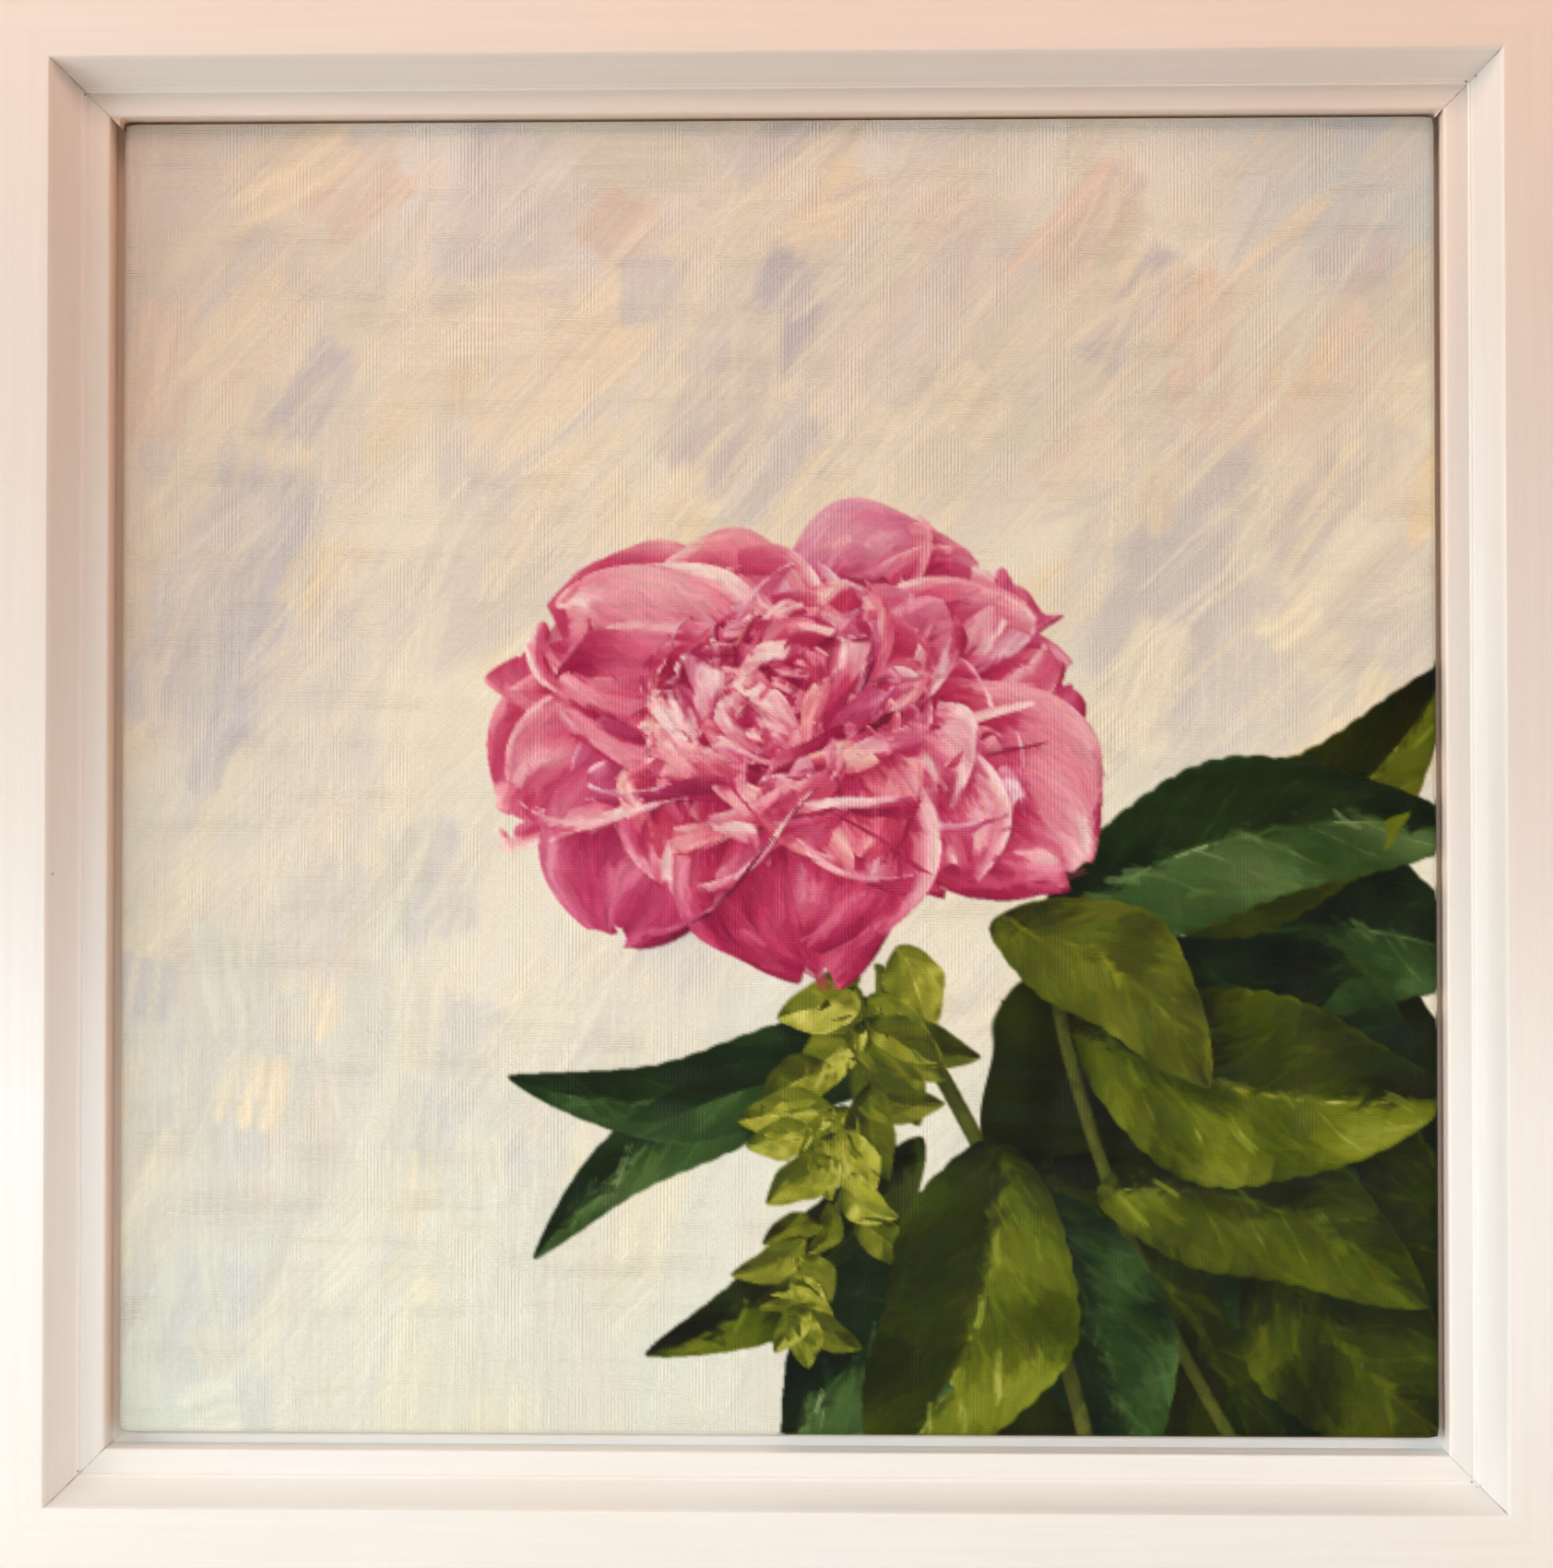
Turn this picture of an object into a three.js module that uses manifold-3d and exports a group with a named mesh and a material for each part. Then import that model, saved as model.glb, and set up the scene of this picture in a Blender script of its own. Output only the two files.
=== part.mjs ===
// A square stretched canvas floating in a white painted, mitred wooden frame.
// Millimetres. X runs to the right, Z up, and the picture faces -Y. The plane y = 0 is the
// wall, and the origin is the point on it where the wall nail carries the sawtooth hanger.
import * as THREE from 'three';
import { mergeVertices } from 'three/addons/utils/BufferGeometryUtils.js';
import Module from 'manifold-3d';

const wasm = await Module();
wasm.setup();

// Driving dimensions of the frame. A "half" size runs from the frame's centre to an edge.
const FRAME_HALF = 195;
const FRAME_DEPTH = 38;
const WALL_CLEARANCE = 3;
const HANGING_HEIGHT = 180;
const OUTER_EDGE_RADIUS = 1.5;
const ARRIS_HALF = 166;
const COVE_HALF = 160.3;
const COVE_DEPTH = 8.4;
const COVE_HOLLOW = 0.9;
const BEAD_WIDTH = 1;
const STEP_DEPTH = 9.2;
const WALL_HALF = 154.2;
const LIP_RADIUS = 1;
const LEDGE_HALF = 138;
const LEDGE_THICKNESS = 5;
const SHELF_DEPTH = 17.7;

// Driving dimensions of the stretched canvas, which sits a little off centre in the frame.
const CANVAS_HALF = 152.4;
const CANVAS_CORNER_RADIUS = 1.2;
const CANVAS_THICKNESS = 0.6;
const CANVAS_FACE_DEPTH = 13.7;
const CANVAS_FLAP_HALF = 126;
const CANVAS_SHIFT_X = 0.5;
const CANVAS_SHIFT_Z = 1.2;
const BAR_THICKNESS = 17;
const BAR_WIDTH = 38.5;
const BAR_LIP = 4;
const BAR_RELIEF = 3;
const KEY_ROOM = 13;
const KEY_LENGTH = 34;
const KEY_PROUD = 7;
const KEY_TIP_WIDTH = 6.5;

// Layers of the stretcher's corner joint, as depths behind the bar's front.
const TONGUE_THICKNESS = 3;
const TONGUE_END_GAP = 2;
const FRONT_TONGUE_DEPTH = 5.3;
const BACK_TONGUE_DEPTH = 9.7;

// Driving dimensions of the fasteners and fittings.
const STAPLE = { crown: 10, wire: 0.6, width: 1.2, leg: 6, half: 131, spots: [-92, -31, 31, 92] };
const SCREW = { shank: 1.6, head: 4, headHeight: 1.7, length: 15, half: 146, spots: [-75, 75] };
const LEDGE_HOLE_RADIUS = 3.5;
const CORNER_NAIL = { arm: 5, spread: 3.5, thickness: 0.5, height: 10, sunk: 0.4, spots: [168, 184] };
const HANGER = { width: 44, height: 8, thickness: 0.8, raise: 1.2, teeth: 13, pitch: 2, tooth: 1.2 };
const HANGER_NAIL = { spot: 18, shank: 0.7, head: 1.7, headHeight: 0.6, length: 12 };
const BUMPER = { radius: 5, edge: 0.8, x: 150, half: 184 };

const CLEARANCE = 0.3;
const OVERSHOOT = 1;
const MITRE_SETBACK = CLEARANCE / Math.SQRT2;

// Places worked out from the driving dimensions.
const FRAME_BACK_Y = -WALL_CLEARANCE;
const FRAME_FRONT_Y = FRAME_BACK_Y - FRAME_DEPTH;
const LEDGE_FRONT_Y = FRAME_BACK_Y - LEDGE_THICKNESS;
const CANVAS_FACE_Y = FRAME_FRONT_Y + CANVAS_FACE_DEPTH;
const BAR_HALF = CANVAS_HALF - CANVAS_THICKNESS - CLEARANCE;
const BAR_INNER_HALF = BAR_HALF - BAR_WIDTH;
const BAR_FRONT_Y = CANVAS_FACE_Y + CANVAS_THICKNESS + CLEARANCE;
const BAR_BACK_Y = BAR_FRONT_Y + BAR_THICKNESS;
const CANVAS_BACK_Y = BAR_BACK_Y + CLEARANCE + CANVAS_THICKNESS;

// How far out the canvas lies on each side, and the shelf that fills the gap beside it.
const CANVAS_EDGES = [CANVAS_SHIFT_Z, CANVAS_SHIFT_X, -CANVAS_SHIFT_Z, -CANVAS_SHIFT_X]
  .map((shift) => CANVAS_HALF + shift);
const SHELF_Y = FRAME_FRONT_Y + SHELF_DEPTH;

// Each side is the top side turned clockwise by quarter turns, as seen from the front, and
// each corner lies at its side's clockwise end.
const SIDES = ['top', 'right', 'bottom', 'left'];
const CORNERS = ['top_right', 'bottom_right', 'bottom_left', 'top_left'];

const FINISH = {
  paintedWood: { color: 0xf3e9e0, roughness: 0.45, metalness: 0 },
  pine: { color: 0xd0b187, roughness: 0.7, metalness: 0 },
  beech: { color: 0xb98d5e, roughness: 0.65, metalness: 0 },
  paintedCanvas: { color: 0xdccbb6, roughness: 0.55, metalness: 0 },
  steel: { color: 0xa9a9a6, roughness: 0.35, metalness: 1 },
  brassedSteel: { color: 0xc2a15a, roughness: 0.35, metalness: 1 },
  rubber: { color: 0x3a3836, roughness: 0.8, metalness: 0 },
};

// Turns a closed three.js geometry into a solid that can be cut and joined.
function solidOf(geometry) {
  const loose = geometry.index ? geometry.toNonIndexed() : geometry;
  const bare = new THREE.BufferGeometry();
  bare.setAttribute('position', loose.getAttribute('position').clone());
  const merged = mergeVertices(bare, 1e-4);
  const mesh = new wasm.Mesh({
    numProp: 3,
    vertProperties: new Float32Array(merged.getAttribute('position').array),
    triVerts: new Uint32Array(merged.index.array),
  });
  return new wasm.Manifold(mesh);
}

// Turns a solid back into a geometry for a mesh.
function geometryOf(solid) {
  const mesh = solid.getMesh();
  const geometry = new THREE.BufferGeometry();
  geometry.setAttribute('position', new THREE.BufferAttribute(mesh.vertProperties, 3));
  geometry.setIndex(new THREE.BufferAttribute(mesh.triVerts, 1));
  return geometry;
}

// Takes every cutter away from a solid.
function cut(solid, cutters) {
  return cutters.reduce((left, cutter) => left.subtract(solidOf(cutter)), solid);
}

// A box from its lowest to its highest corner.
function boxBetween(low, high) {
  const size = high.map((value, i) => value - low[i]);
  const middle = high.map((value, i) => (value + low[i]) / 2);
  return new THREE.BoxGeometry(...size).translate(...middle);
}

// A round bar along Y, centred on (x, z).
function roundBar(radius, x, z, yLow, yHigh, segments = 12) {
  const bar = new THREE.CylinderGeometry(radius, radius, yHigh - yLow, segments);
  return bar.translate(x, (yLow + yHigh) / 2, z);
}

// An outline in the plane of the picture, with x across and z up, given thickness along Y.
function plate(shape, yLow, yHigh) {
  const geometry = new THREE.ExtrudeGeometry(shape, {
    depth: yHigh - yLow,
    bevelEnabled: false,
    curveSegments: 3,
  });
  return geometry.rotateX(Math.PI / 2).translate(0, yHigh, 0);
}

// A closed shape through [x, y] pairs.
function outline(points) {
  return new THREE.Shape(points.map(([x, y]) => new THREE.Vector2(x, y)));
}

// A square with rounded corners.
function roundedSquare(half, radius) {
  const straight = half - radius;
  const shape = new THREE.Shape();
  shape.moveTo(half, -straight);
  shape.absarc(straight, straight, radius, 0, Math.PI / 2);
  shape.absarc(-straight, straight, radius, Math.PI / 2, Math.PI);
  shape.absarc(-straight, -straight, radius, Math.PI, 1.5 * Math.PI);
  shape.absarc(straight, -straight, radius, 1.5 * Math.PI, 2 * Math.PI);
  return shape;
}

// Carries a profile of (distance from the centre, y) along the top side. Both ends are
// mitred at 45 degrees and set back a little, so that neighbours don't touch.
function mitredLength(profile) {
  const geometry = new THREE.ExtrudeGeometry(profile, {
    depth: 2,
    bevelEnabled: false,
    curveSegments: 4,
  });
  const position = geometry.getAttribute('position');
  for (let i = 0; i < position.count; i += 1) {
    const out = position.getX(i);
    const end = position.getZ(i) - 1;
    position.setXYZ(i, -end * (out - MITRE_SETBACK), position.getY(i), out);
  }
  return geometry;
}

// The rail's section: a flat face, a hollow cove down to a step, a rounded lip, the inner
// wall of the well, a shelf that closes the gap beside the canvas a little behind its face,
// and the ledge that carries the canvas.
function railProfile(canvasEdge) {
  const coveTop = new THREE.Vector2(ARRIS_HALF, FRAME_FRONT_Y);
  const coveFoot = new THREE.Vector2(COVE_HALF, FRAME_FRONT_Y + COVE_DEPTH);
  const inward = coveFoot.clone().sub(coveTop).normalize();
  const hollow = new THREE.Vector2(-inward.y, inward.x).multiplyScalar(-2 * COVE_HOLLOW);
  const pull = coveTop.clone().lerp(coveFoot, 0.5).add(hollow);
  const stepY = FRAME_FRONT_Y + STEP_DEPTH;
  const shape = new THREE.Shape();
  shape.moveTo(FRAME_HALF, FRAME_BACK_Y);
  shape.lineTo(FRAME_HALF, FRAME_FRONT_Y + OUTER_EDGE_RADIUS);
  shape.lineTo(FRAME_HALF - OUTER_EDGE_RADIUS, FRAME_FRONT_Y);
  shape.lineTo(coveTop.x, coveTop.y);
  shape.quadraticCurveTo(pull.x, pull.y, coveFoot.x, coveFoot.y);
  shape.lineTo(COVE_HALF - BEAD_WIDTH, stepY - (STEP_DEPTH - COVE_DEPTH) / 2);
  shape.lineTo(WALL_HALF + LIP_RADIUS, stepY);
  shape.absarc(WALL_HALF + LIP_RADIUS, stepY + LIP_RADIUS, LIP_RADIUS, -Math.PI / 2, -Math.PI, true);
  shape.lineTo(WALL_HALF, SHELF_Y);
  shape.lineTo(canvasEdge + CLEARANCE, SHELF_Y);
  shape.lineTo(canvasEdge + CLEARANCE, LEDGE_FRONT_Y);
  shape.lineTo(LEDGE_HALF, LEDGE_FRONT_Y);
  shape.lineTo(LEDGE_HALF, FRAME_BACK_Y);
  return shape;
}

// A V-shaped corner nail seen from the back, opening outwards across the mitre, with its
// walls thickened by grow on every side.
function cornerNailOutline(place, grow) {
  const { arm, spread, thickness } = CORNER_NAIL;
  const length = Math.hypot(arm, spread);
  const half = thickness / 2 + grow;
  const apex = (half * length) / spread;
  const along = [arm / length, spread / length];
  const tip = [arm + along[0] * grow, spread + along[1] * grow];
  const outer = [tip[0] - along[1] * half, tip[1] + along[0] * half];
  const inner = [tip[0] + along[1] * half, tip[1] - along[0] * half];
  const upright = [
    [-apex, 0],
    [outer[0], -outer[1]],
    [inner[0], -inner[1]],
    [apex, 0],
    inner,
    outer,
  ];
  const turned = upright.map(([p, q]) => [
    place + (p - q) * Math.SQRT1_2,
    place + (p + q) * Math.SQRT1_2,
  ]);
  return outline(turned);
}

function cornerNail(place) {
  const top = FRAME_BACK_Y - CORNER_NAIL.sunk;
  return plate(cornerNailOutline(place, 0), top - CORNER_NAIL.height, top);
}

// The slots that the corner nails leave in both rails of a corner, at both ends of a rail.
function cornerNailSlots() {
  const foot = FRAME_BACK_Y - CORNER_NAIL.sunk - CORNER_NAIL.height - CLEARANCE;
  return CORNER_NAIL.spots.flatMap((place) => {
    const slot = plate(cornerNailOutline(place, CLEARANCE), foot, FRAME_BACK_Y + OVERSHOOT);
    return [slot, slot.clone().rotateY(-Math.PI / 2)];
  });
}

// One mitred rail of the frame, with oversize holes through its ledge for the screws.
function frameRail(canvasEdge, extraHoles = []) {
  const ledgeHoles = SCREW.spots.map((x) => roundBar(
    LEDGE_HOLE_RADIUS,
    x,
    SCREW.half,
    LEDGE_FRONT_Y - OVERSHOOT,
    FRAME_BACK_Y + OVERSHOOT,
    16,
  ));
  const cutters = [...ledgeHoles, ...cornerNailSlots(), ...extraHoles];
  return geometryOf(cut(solidOf(mitredLength(railProfile(canvasEdge))), cutters));
}

function hangerNailHoles() {
  return [-1, 1].map((side) => roundBar(
    HANGER_NAIL.shank + CLEARANCE,
    side * HANGER_NAIL.spot,
    HANGING_HEIGHT + HANGER.height / 2,
    FRAME_BACK_Y - HANGER_NAIL.length,
    FRAME_BACK_Y + OVERSHOOT,
  ));
}

// The stretcher bar's section: only its outer lip touches the canvas, and the rest of its
// front falls away inwards.
function barProfile() {
  return outline([
    [BAR_HALF, BAR_BACK_Y],
    [BAR_HALF, BAR_FRONT_Y + CANVAS_CORNER_RADIUS],
    [BAR_HALF - CANVAS_CORNER_RADIUS, BAR_FRONT_Y],
    [BAR_HALF - BAR_LIP, BAR_FRONT_Y],
    [BAR_INNER_HALF, BAR_FRONT_Y + BAR_RELIEF],
    [BAR_INNER_HALF, BAR_BACK_Y],
  ]);
}

// The holes that staple legs and screws leave, in a bar or in the canvas over it.
function fastenerHoles(yLow) {
  const legSpots = STAPLE.spots.flatMap((x) => [-1, 1].map(
    (side) => x + (side * (STAPLE.crown - STAPLE.wire)) / 2,
  ));
  const legs = legSpots.map((x) => boxBetween(
    [x - STAPLE.wire, Math.max(yLow, CANVAS_BACK_Y - STAPLE.leg - CLEARANCE), STAPLE.half - STAPLE.width],
    [x + STAPLE.wire, CANVAS_BACK_Y + OVERSHOOT, STAPLE.half + STAPLE.width],
  ));
  const shanks = SCREW.spots.map((x) => roundBar(
    SCREW.shank + CLEARANCE,
    x,
    SCREW.half,
    Math.max(yLow, FRAME_BACK_Y - SCREW.length - CLEARANCE),
    CANVAS_BACK_Y + OVERSHOOT,
  ));
  return [...legs, ...shanks];
}

// One stretcher bar. Each end has a tongue in one layer and an open slot for its
// neighbour's tongue in the other. The slot is longer than the tongue by the key's room.
function stretcherBar() {
  const slotFrom = BAR_INNER_HALF - KEY_ROOM;
  const slotTo = BAR_HALF + OVERSHOOT;
  const tongueTo = BAR_HALF - TONGUE_END_GAP;
  const layer = (depth, grow) => [
    BAR_FRONT_Y + depth - grow,
    BAR_FRONT_Y + depth + TONGUE_THICKNESS + grow,
  ];
  const ends = [
    { side: 1, tongue: FRONT_TONGUE_DEPTH, slot: BACK_TONGUE_DEPTH },
    { side: -1, tongue: BACK_TONGUE_DEPTH, slot: FRONT_TONGUE_DEPTH },
  ];
  let bar = solidOf(mitredLength(barProfile()));
  for (const { side, tongue, slot } of ends) {
    const [slotFront, slotBack] = layer(slot, CLEARANCE);
    const [tongueFront, tongueBack] = layer(tongue, 0);
    const slotEnds = [side * slotFrom, side * slotTo].sort((a, b) => a - b);
    const tongueEnds = [side * slotFrom, side * tongueTo].sort((a, b) => a - b);
    bar = cut(bar, [boxBetween(
      [slotEnds[0], slotFront, BAR_INNER_HALF - OVERSHOOT],
      [slotEnds[1], slotBack, slotTo],
    )]);
    bar = bar.add(solidOf(boxBetween(
      [tongueEnds[0], tongueFront, BAR_INNER_HALF],
      [tongueEnds[1], tongueBack, tongueTo],
    )));
  }
  return geometryOf(cut(bar, fastenerHoles(BAR_FRONT_Y + BAR_RELIEF)));
}

// A tapered key beside a tongue: its straight edge lies against the tongue, and its head
// stands proud of the bar's inner edge.
function cornerKey(side, tongueDepth) {
  const head = BAR_INNER_HALF - KEY_PROUD;
  const tip = head + KEY_LENGTH;
  const edge = BAR_INNER_HALF - CLEARANCE;
  const shape = outline([
    [side * head, edge],
    [side * tip, edge],
    [side * tip, edge - KEY_TIP_WIDTH],
    [side * head, BAR_INNER_HALF - KEY_ROOM + CLEARANCE],
  ]);
  const front = BAR_FRONT_Y + tongueDepth;
  return plate(shape, front + CLEARANCE / 2, front + TONGUE_THICKNESS - CLEARANCE / 2);
}

// The canvas: a front, four wrapped sides and a flap folded over the back of every bar.
function canvasShell() {
  const outside = plate(roundedSquare(CANVAS_HALF, CANVAS_CORNER_RADIUS), CANVAS_FACE_Y, CANVAS_BACK_Y);
  const inside = plate(
    roundedSquare(CANVAS_HALF - CANVAS_THICKNESS, CANVAS_CORNER_RADIUS - CANVAS_THICKNESS),
    CANVAS_FACE_Y + CANVAS_THICKNESS,
    CANVAS_BACK_Y - CANVAS_THICKNESS,
  );
  const window = boxBetween(
    [-CANVAS_FLAP_HALF, CANVAS_FACE_Y + CANVAS_THICKNESS * 2, -CANVAS_FLAP_HALF],
    [CANVAS_FLAP_HALF, CANVAS_BACK_Y + OVERSHOOT, CANVAS_FLAP_HALF],
  );
  const holes = SIDES.flatMap((_, turns) => fastenerHoles(BAR_FRONT_Y + BAR_RELIEF)
    .map((hole) => hole.rotateY((turns * Math.PI) / 2)));
  return geometryOf(cut(solidOf(outside), [inside, window, ...holes]));
}

// A staple with its crown on the flap and its legs in the bar.
function staple() {
  const half = STAPLE.crown / 2;
  const top = STAPLE.wire;
  const shape = outline([
    [-half, top],
    [-half, -STAPLE.leg],
    [-half + STAPLE.wire, -STAPLE.leg],
    [-half + STAPLE.wire, 0],
    [half - STAPLE.wire, 0],
    [half - STAPLE.wire, -STAPLE.leg],
    [half, -STAPLE.leg],
    [half, top],
  ]);
  const geometry = new THREE.ExtrudeGeometry(shape, { depth: STAPLE.width, bevelEnabled: false });
  return geometry.translate(0, CANVAS_BACK_Y + CLEARANCE / 2, STAPLE.half - STAPLE.width / 2);
}

// A pan-head screw or round-head nail about Y, from its point up to its head.
function turnedFastener({ shank, head, headHeight, length }, point) {
  const profile = [
    [0, -length],
    [shank, point - length],
    [shank, 0],
    [head, 0],
    [head, headHeight * 0.4],
    [head * 0.75, headHeight * 0.85],
    [0, headHeight],
  ];
  return new THREE.LatheGeometry(profile.map(([r, y]) => new THREE.Vector2(r, y)), 12);
}

// The sawtooth hanger: a plate whose toothed middle is pressed out from the rail. The notch
// between its two middle teeth stands at the height of the wall nail.
function sawtoothHanger() {
  const { width, height, thickness, raise, teeth, pitch, tooth } = HANGER;
  const points = [[-width / 2, 0]];
  const firstNotch = -((teeth - 1) / 2) * pitch;
  for (let i = 0; i < teeth; i += 1) {
    const notch = firstNotch + i * pitch;
    points.push([notch - pitch / 2, -tooth], [notch, 0]);
  }
  points.push([-firstNotch + pitch / 2, -tooth], [width / 2, 0], [width / 2, height]);
  const flatEnd = HANGER_NAIL.spot - HANGER_NAIL.head - 1;
  const pressed = [flatEnd, 0.75 * flatEnd, 0.25 * flatEnd];
  pressed.forEach((x) => points.push([x, height]));
  pressed.reverse().forEach((x) => points.push([-x, height]));
  points.push([-width / 2, height]);
  const shape = outline(points);
  for (const side of [-1, 1]) {
    const hole = new THREE.Path();
    hole.absarc(side * HANGER_NAIL.spot, height / 2, HANGER_NAIL.shank + CLEARANCE, 0, 2 * Math.PI);
    shape.holes.push(hole);
  }
  const back = FRAME_BACK_Y + CLEARANCE;
  const geometry = plate(shape, back, back + thickness);
  const position = geometry.getAttribute('position');
  for (let i = 0; i < position.count; i += 1) {
    const middle = 1 - Math.abs(position.getX(i)) / flatEnd;
    const lift = raise * THREE.MathUtils.smoothstep(middle, 0, 0.3);
    position.setY(i, position.getY(i) + lift);
  }
  return geometry.translate(0, 0, HANGING_HEIGHT);
}

// A round rubber foot that keeps the frame's lower back off the wall.
function wallBumper() {
  const { radius, edge } = BUMPER;
  const back = FRAME_BACK_Y + CLEARANCE;
  const profile = [[0, back], [radius, back], [radius, -edge], [radius - edge, 0], [0, 0]];
  return new THREE.LatheGeometry(profile.map(([r, y]) => new THREE.Vector2(r, y)), 24);
}

// Puts a named piece with a finish of its own into a group.
function place(group, name, geometry, finish, x = 0, y = 0, z = 0) {
  const piece = new THREE.Mesh(geometry, new THREE.MeshStandardMaterial(finish));
  piece.name = name;
  piece.position.set(x, y, z);
  group.add(piece);
}

// A group for one side: the top side's pieces, turned to that side.
function sideGroup(parent, turns) {
  const side = new THREE.Group();
  side.rotation.y = (turns * Math.PI) / 2;
  parent.add(side);
  return side;
}

const picture = new THREE.Group();
picture.position.z = -HANGING_HEIGHT;

const frame = new THREE.Group();
picture.add(frame);
SIDES.forEach((name, turns) => {
  const side = sideGroup(frame, turns);
  const holes = name === 'top' ? hangerNailHoles() : [];
  place(side, `frame_rail_${name}`, frameRail(CANVAS_EDGES[turns], holes), FINISH.paintedWood);
  CORNER_NAIL.spots.forEach((spot, i) => {
    const label = i === 0 ? 'inner' : 'outer';
    place(side, `corner_nail_${CORNERS[turns]}_${label}`, cornerNail(spot), FINISH.steel);
  });
});
place(frame, 'sawtooth_hanger', sawtoothHanger(), FINISH.brassedSteel);
for (const [label, side] of [['left', -1], ['right', 1]]) {
  place(
    frame,
    `hanger_nail_${label}`,
    turnedFastener(HANGER_NAIL, 1.5),
    FINISH.steel,
    side * HANGER_NAIL.spot,
    FRAME_BACK_Y + CLEARANCE + HANGER.thickness + CLEARANCE / 2,
    HANGING_HEIGHT + HANGER.height / 2,
  );
  place(frame, `wall_bumper_${label}`, wallBumper(), FINISH.rubber, side * BUMPER.x, 0, -BUMPER.half);
}

const stretched = new THREE.Group();
stretched.position.set(CANVAS_SHIFT_X, 0, CANVAS_SHIFT_Z);
picture.add(stretched);
place(stretched, 'canvas', canvasShell(), FINISH.paintedCanvas);
SIDES.forEach((name, turns) => {
  const side = sideGroup(stretched, turns);
  place(side, `stretcher_bar_${name}`, stretcherBar(), FINISH.pine);
  place(side, `corner_key_${CORNERS[turns]}_a`, cornerKey(1, FRONT_TONGUE_DEPTH), FINISH.beech);
  const previous = CORNERS[(turns + 3) % 4];
  place(side, `corner_key_${previous}_b`, cornerKey(-1, BACK_TONGUE_DEPTH), FINISH.beech);
  STAPLE.spots.forEach((x, i) => {
    place(side, `staple_${name}_${i + 1}`, staple(), FINISH.steel, x);
  });
  SCREW.spots.forEach((x, i) => {
    place(
      side,
      `canvas_screw_${name}_${i + 1}`,
      turnedFastener(SCREW, 3),
      FINISH.steel,
      x,
      FRAME_BACK_Y + CLEARANCE,
      SCREW.half,
    );
  });
});

export default picture;
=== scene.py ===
"""A framed flower study: a square stretched canvas floating in a white painted, mitred frame.

The row's frame is kept: metres, X to the right, Z up, and the picture faces -Y. Places come
from the fixed model's own boxes, and every surface here is worked out from them.
"""

from __future__ import annotations

import logging
import math
from dataclasses import dataclass, field
from enum import Enum

import bpy
import numpy as np
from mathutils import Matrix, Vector


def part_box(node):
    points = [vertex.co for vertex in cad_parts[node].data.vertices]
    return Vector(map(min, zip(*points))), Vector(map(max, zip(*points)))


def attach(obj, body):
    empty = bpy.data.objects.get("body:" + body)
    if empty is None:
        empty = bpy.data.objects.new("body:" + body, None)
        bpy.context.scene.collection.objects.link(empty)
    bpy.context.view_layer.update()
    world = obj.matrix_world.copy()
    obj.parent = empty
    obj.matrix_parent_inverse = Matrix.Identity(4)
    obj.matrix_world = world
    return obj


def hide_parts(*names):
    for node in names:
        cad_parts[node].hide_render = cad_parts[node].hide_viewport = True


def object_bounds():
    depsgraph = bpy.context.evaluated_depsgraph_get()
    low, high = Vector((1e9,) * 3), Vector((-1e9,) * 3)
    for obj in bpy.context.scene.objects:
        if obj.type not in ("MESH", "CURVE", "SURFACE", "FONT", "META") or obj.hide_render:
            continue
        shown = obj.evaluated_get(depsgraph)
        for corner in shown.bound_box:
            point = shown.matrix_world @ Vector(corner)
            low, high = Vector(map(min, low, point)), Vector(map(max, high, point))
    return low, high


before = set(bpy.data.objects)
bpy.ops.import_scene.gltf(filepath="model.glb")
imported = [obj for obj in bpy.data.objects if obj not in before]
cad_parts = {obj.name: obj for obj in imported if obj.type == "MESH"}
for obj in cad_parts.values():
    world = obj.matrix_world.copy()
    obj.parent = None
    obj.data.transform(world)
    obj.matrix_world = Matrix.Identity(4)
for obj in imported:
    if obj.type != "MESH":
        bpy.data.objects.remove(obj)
CAD_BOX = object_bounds()
ROOT = "root"
MM = 0.001
SIDES = ("top", "right", "bottom", "left")
CORNERS = ("top_right", "bottom_right", "bottom_left", "top_left")
LOG = logging.getLogger("framed_study")

Array = np.ndarray
Colour = tuple[float, float, float]
Random = np.random.Generator
Piece = bpy.types.Object
Material = bpy.types.Material
Tree = bpy.types.NodeTree
Node = bpy.types.Node
Socket = bpy.types.NodeSocket


# ---------- numbers and curves


def linear(colour: Array | Colour) -> Array:
    """Turns display colours from 0 to 1 into the linear values that materials hold."""
    c = np.clip(np.asarray(colour, float), 0.0, 1.0)
    return np.where(c <= 0.04045, c / 12.92, ((c + 0.055) / 1.055) ** 2.4)


def smoothstep(low: float, high: float, value: Array) -> Array:
    """A smooth rise from 0 at low to 1 at high: 3t squared minus 2t cubed."""
    t = np.clip((value - low) / (high - low), 0.0, 1.0)
    return t * t * (3 - 2 * t)


def arc(centre: tuple[float, float], radius: float, start: float, end: float, steps: int) -> Array:
    """Points from one angle in degrees to another: the centre plus radius times (cosine, sine)."""
    angle = np.radians(np.linspace(start, end, steps + 1))
    return np.array(centre) + radius * np.c_[np.cos(angle), np.sin(angle)]


def ramp(value: Array, stops: list[tuple[float, Colour]]) -> Array:
    """Reads display colours off a list of stops, straight between neighbours.

    Args:
        value: where to read, of any shape.
        stops: (place, colour out of 255) pairs in rising order.

    Returns:
        Colours from 0 to 1, with one more axis of three.
    """
    places = [stop[0] for stop in stops]
    channels = [[stop[1][i] / 255 for stop in stops] for i in range(3)]
    return np.stack([np.interp(value, places, channel) for channel in channels], axis=-1)


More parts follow.
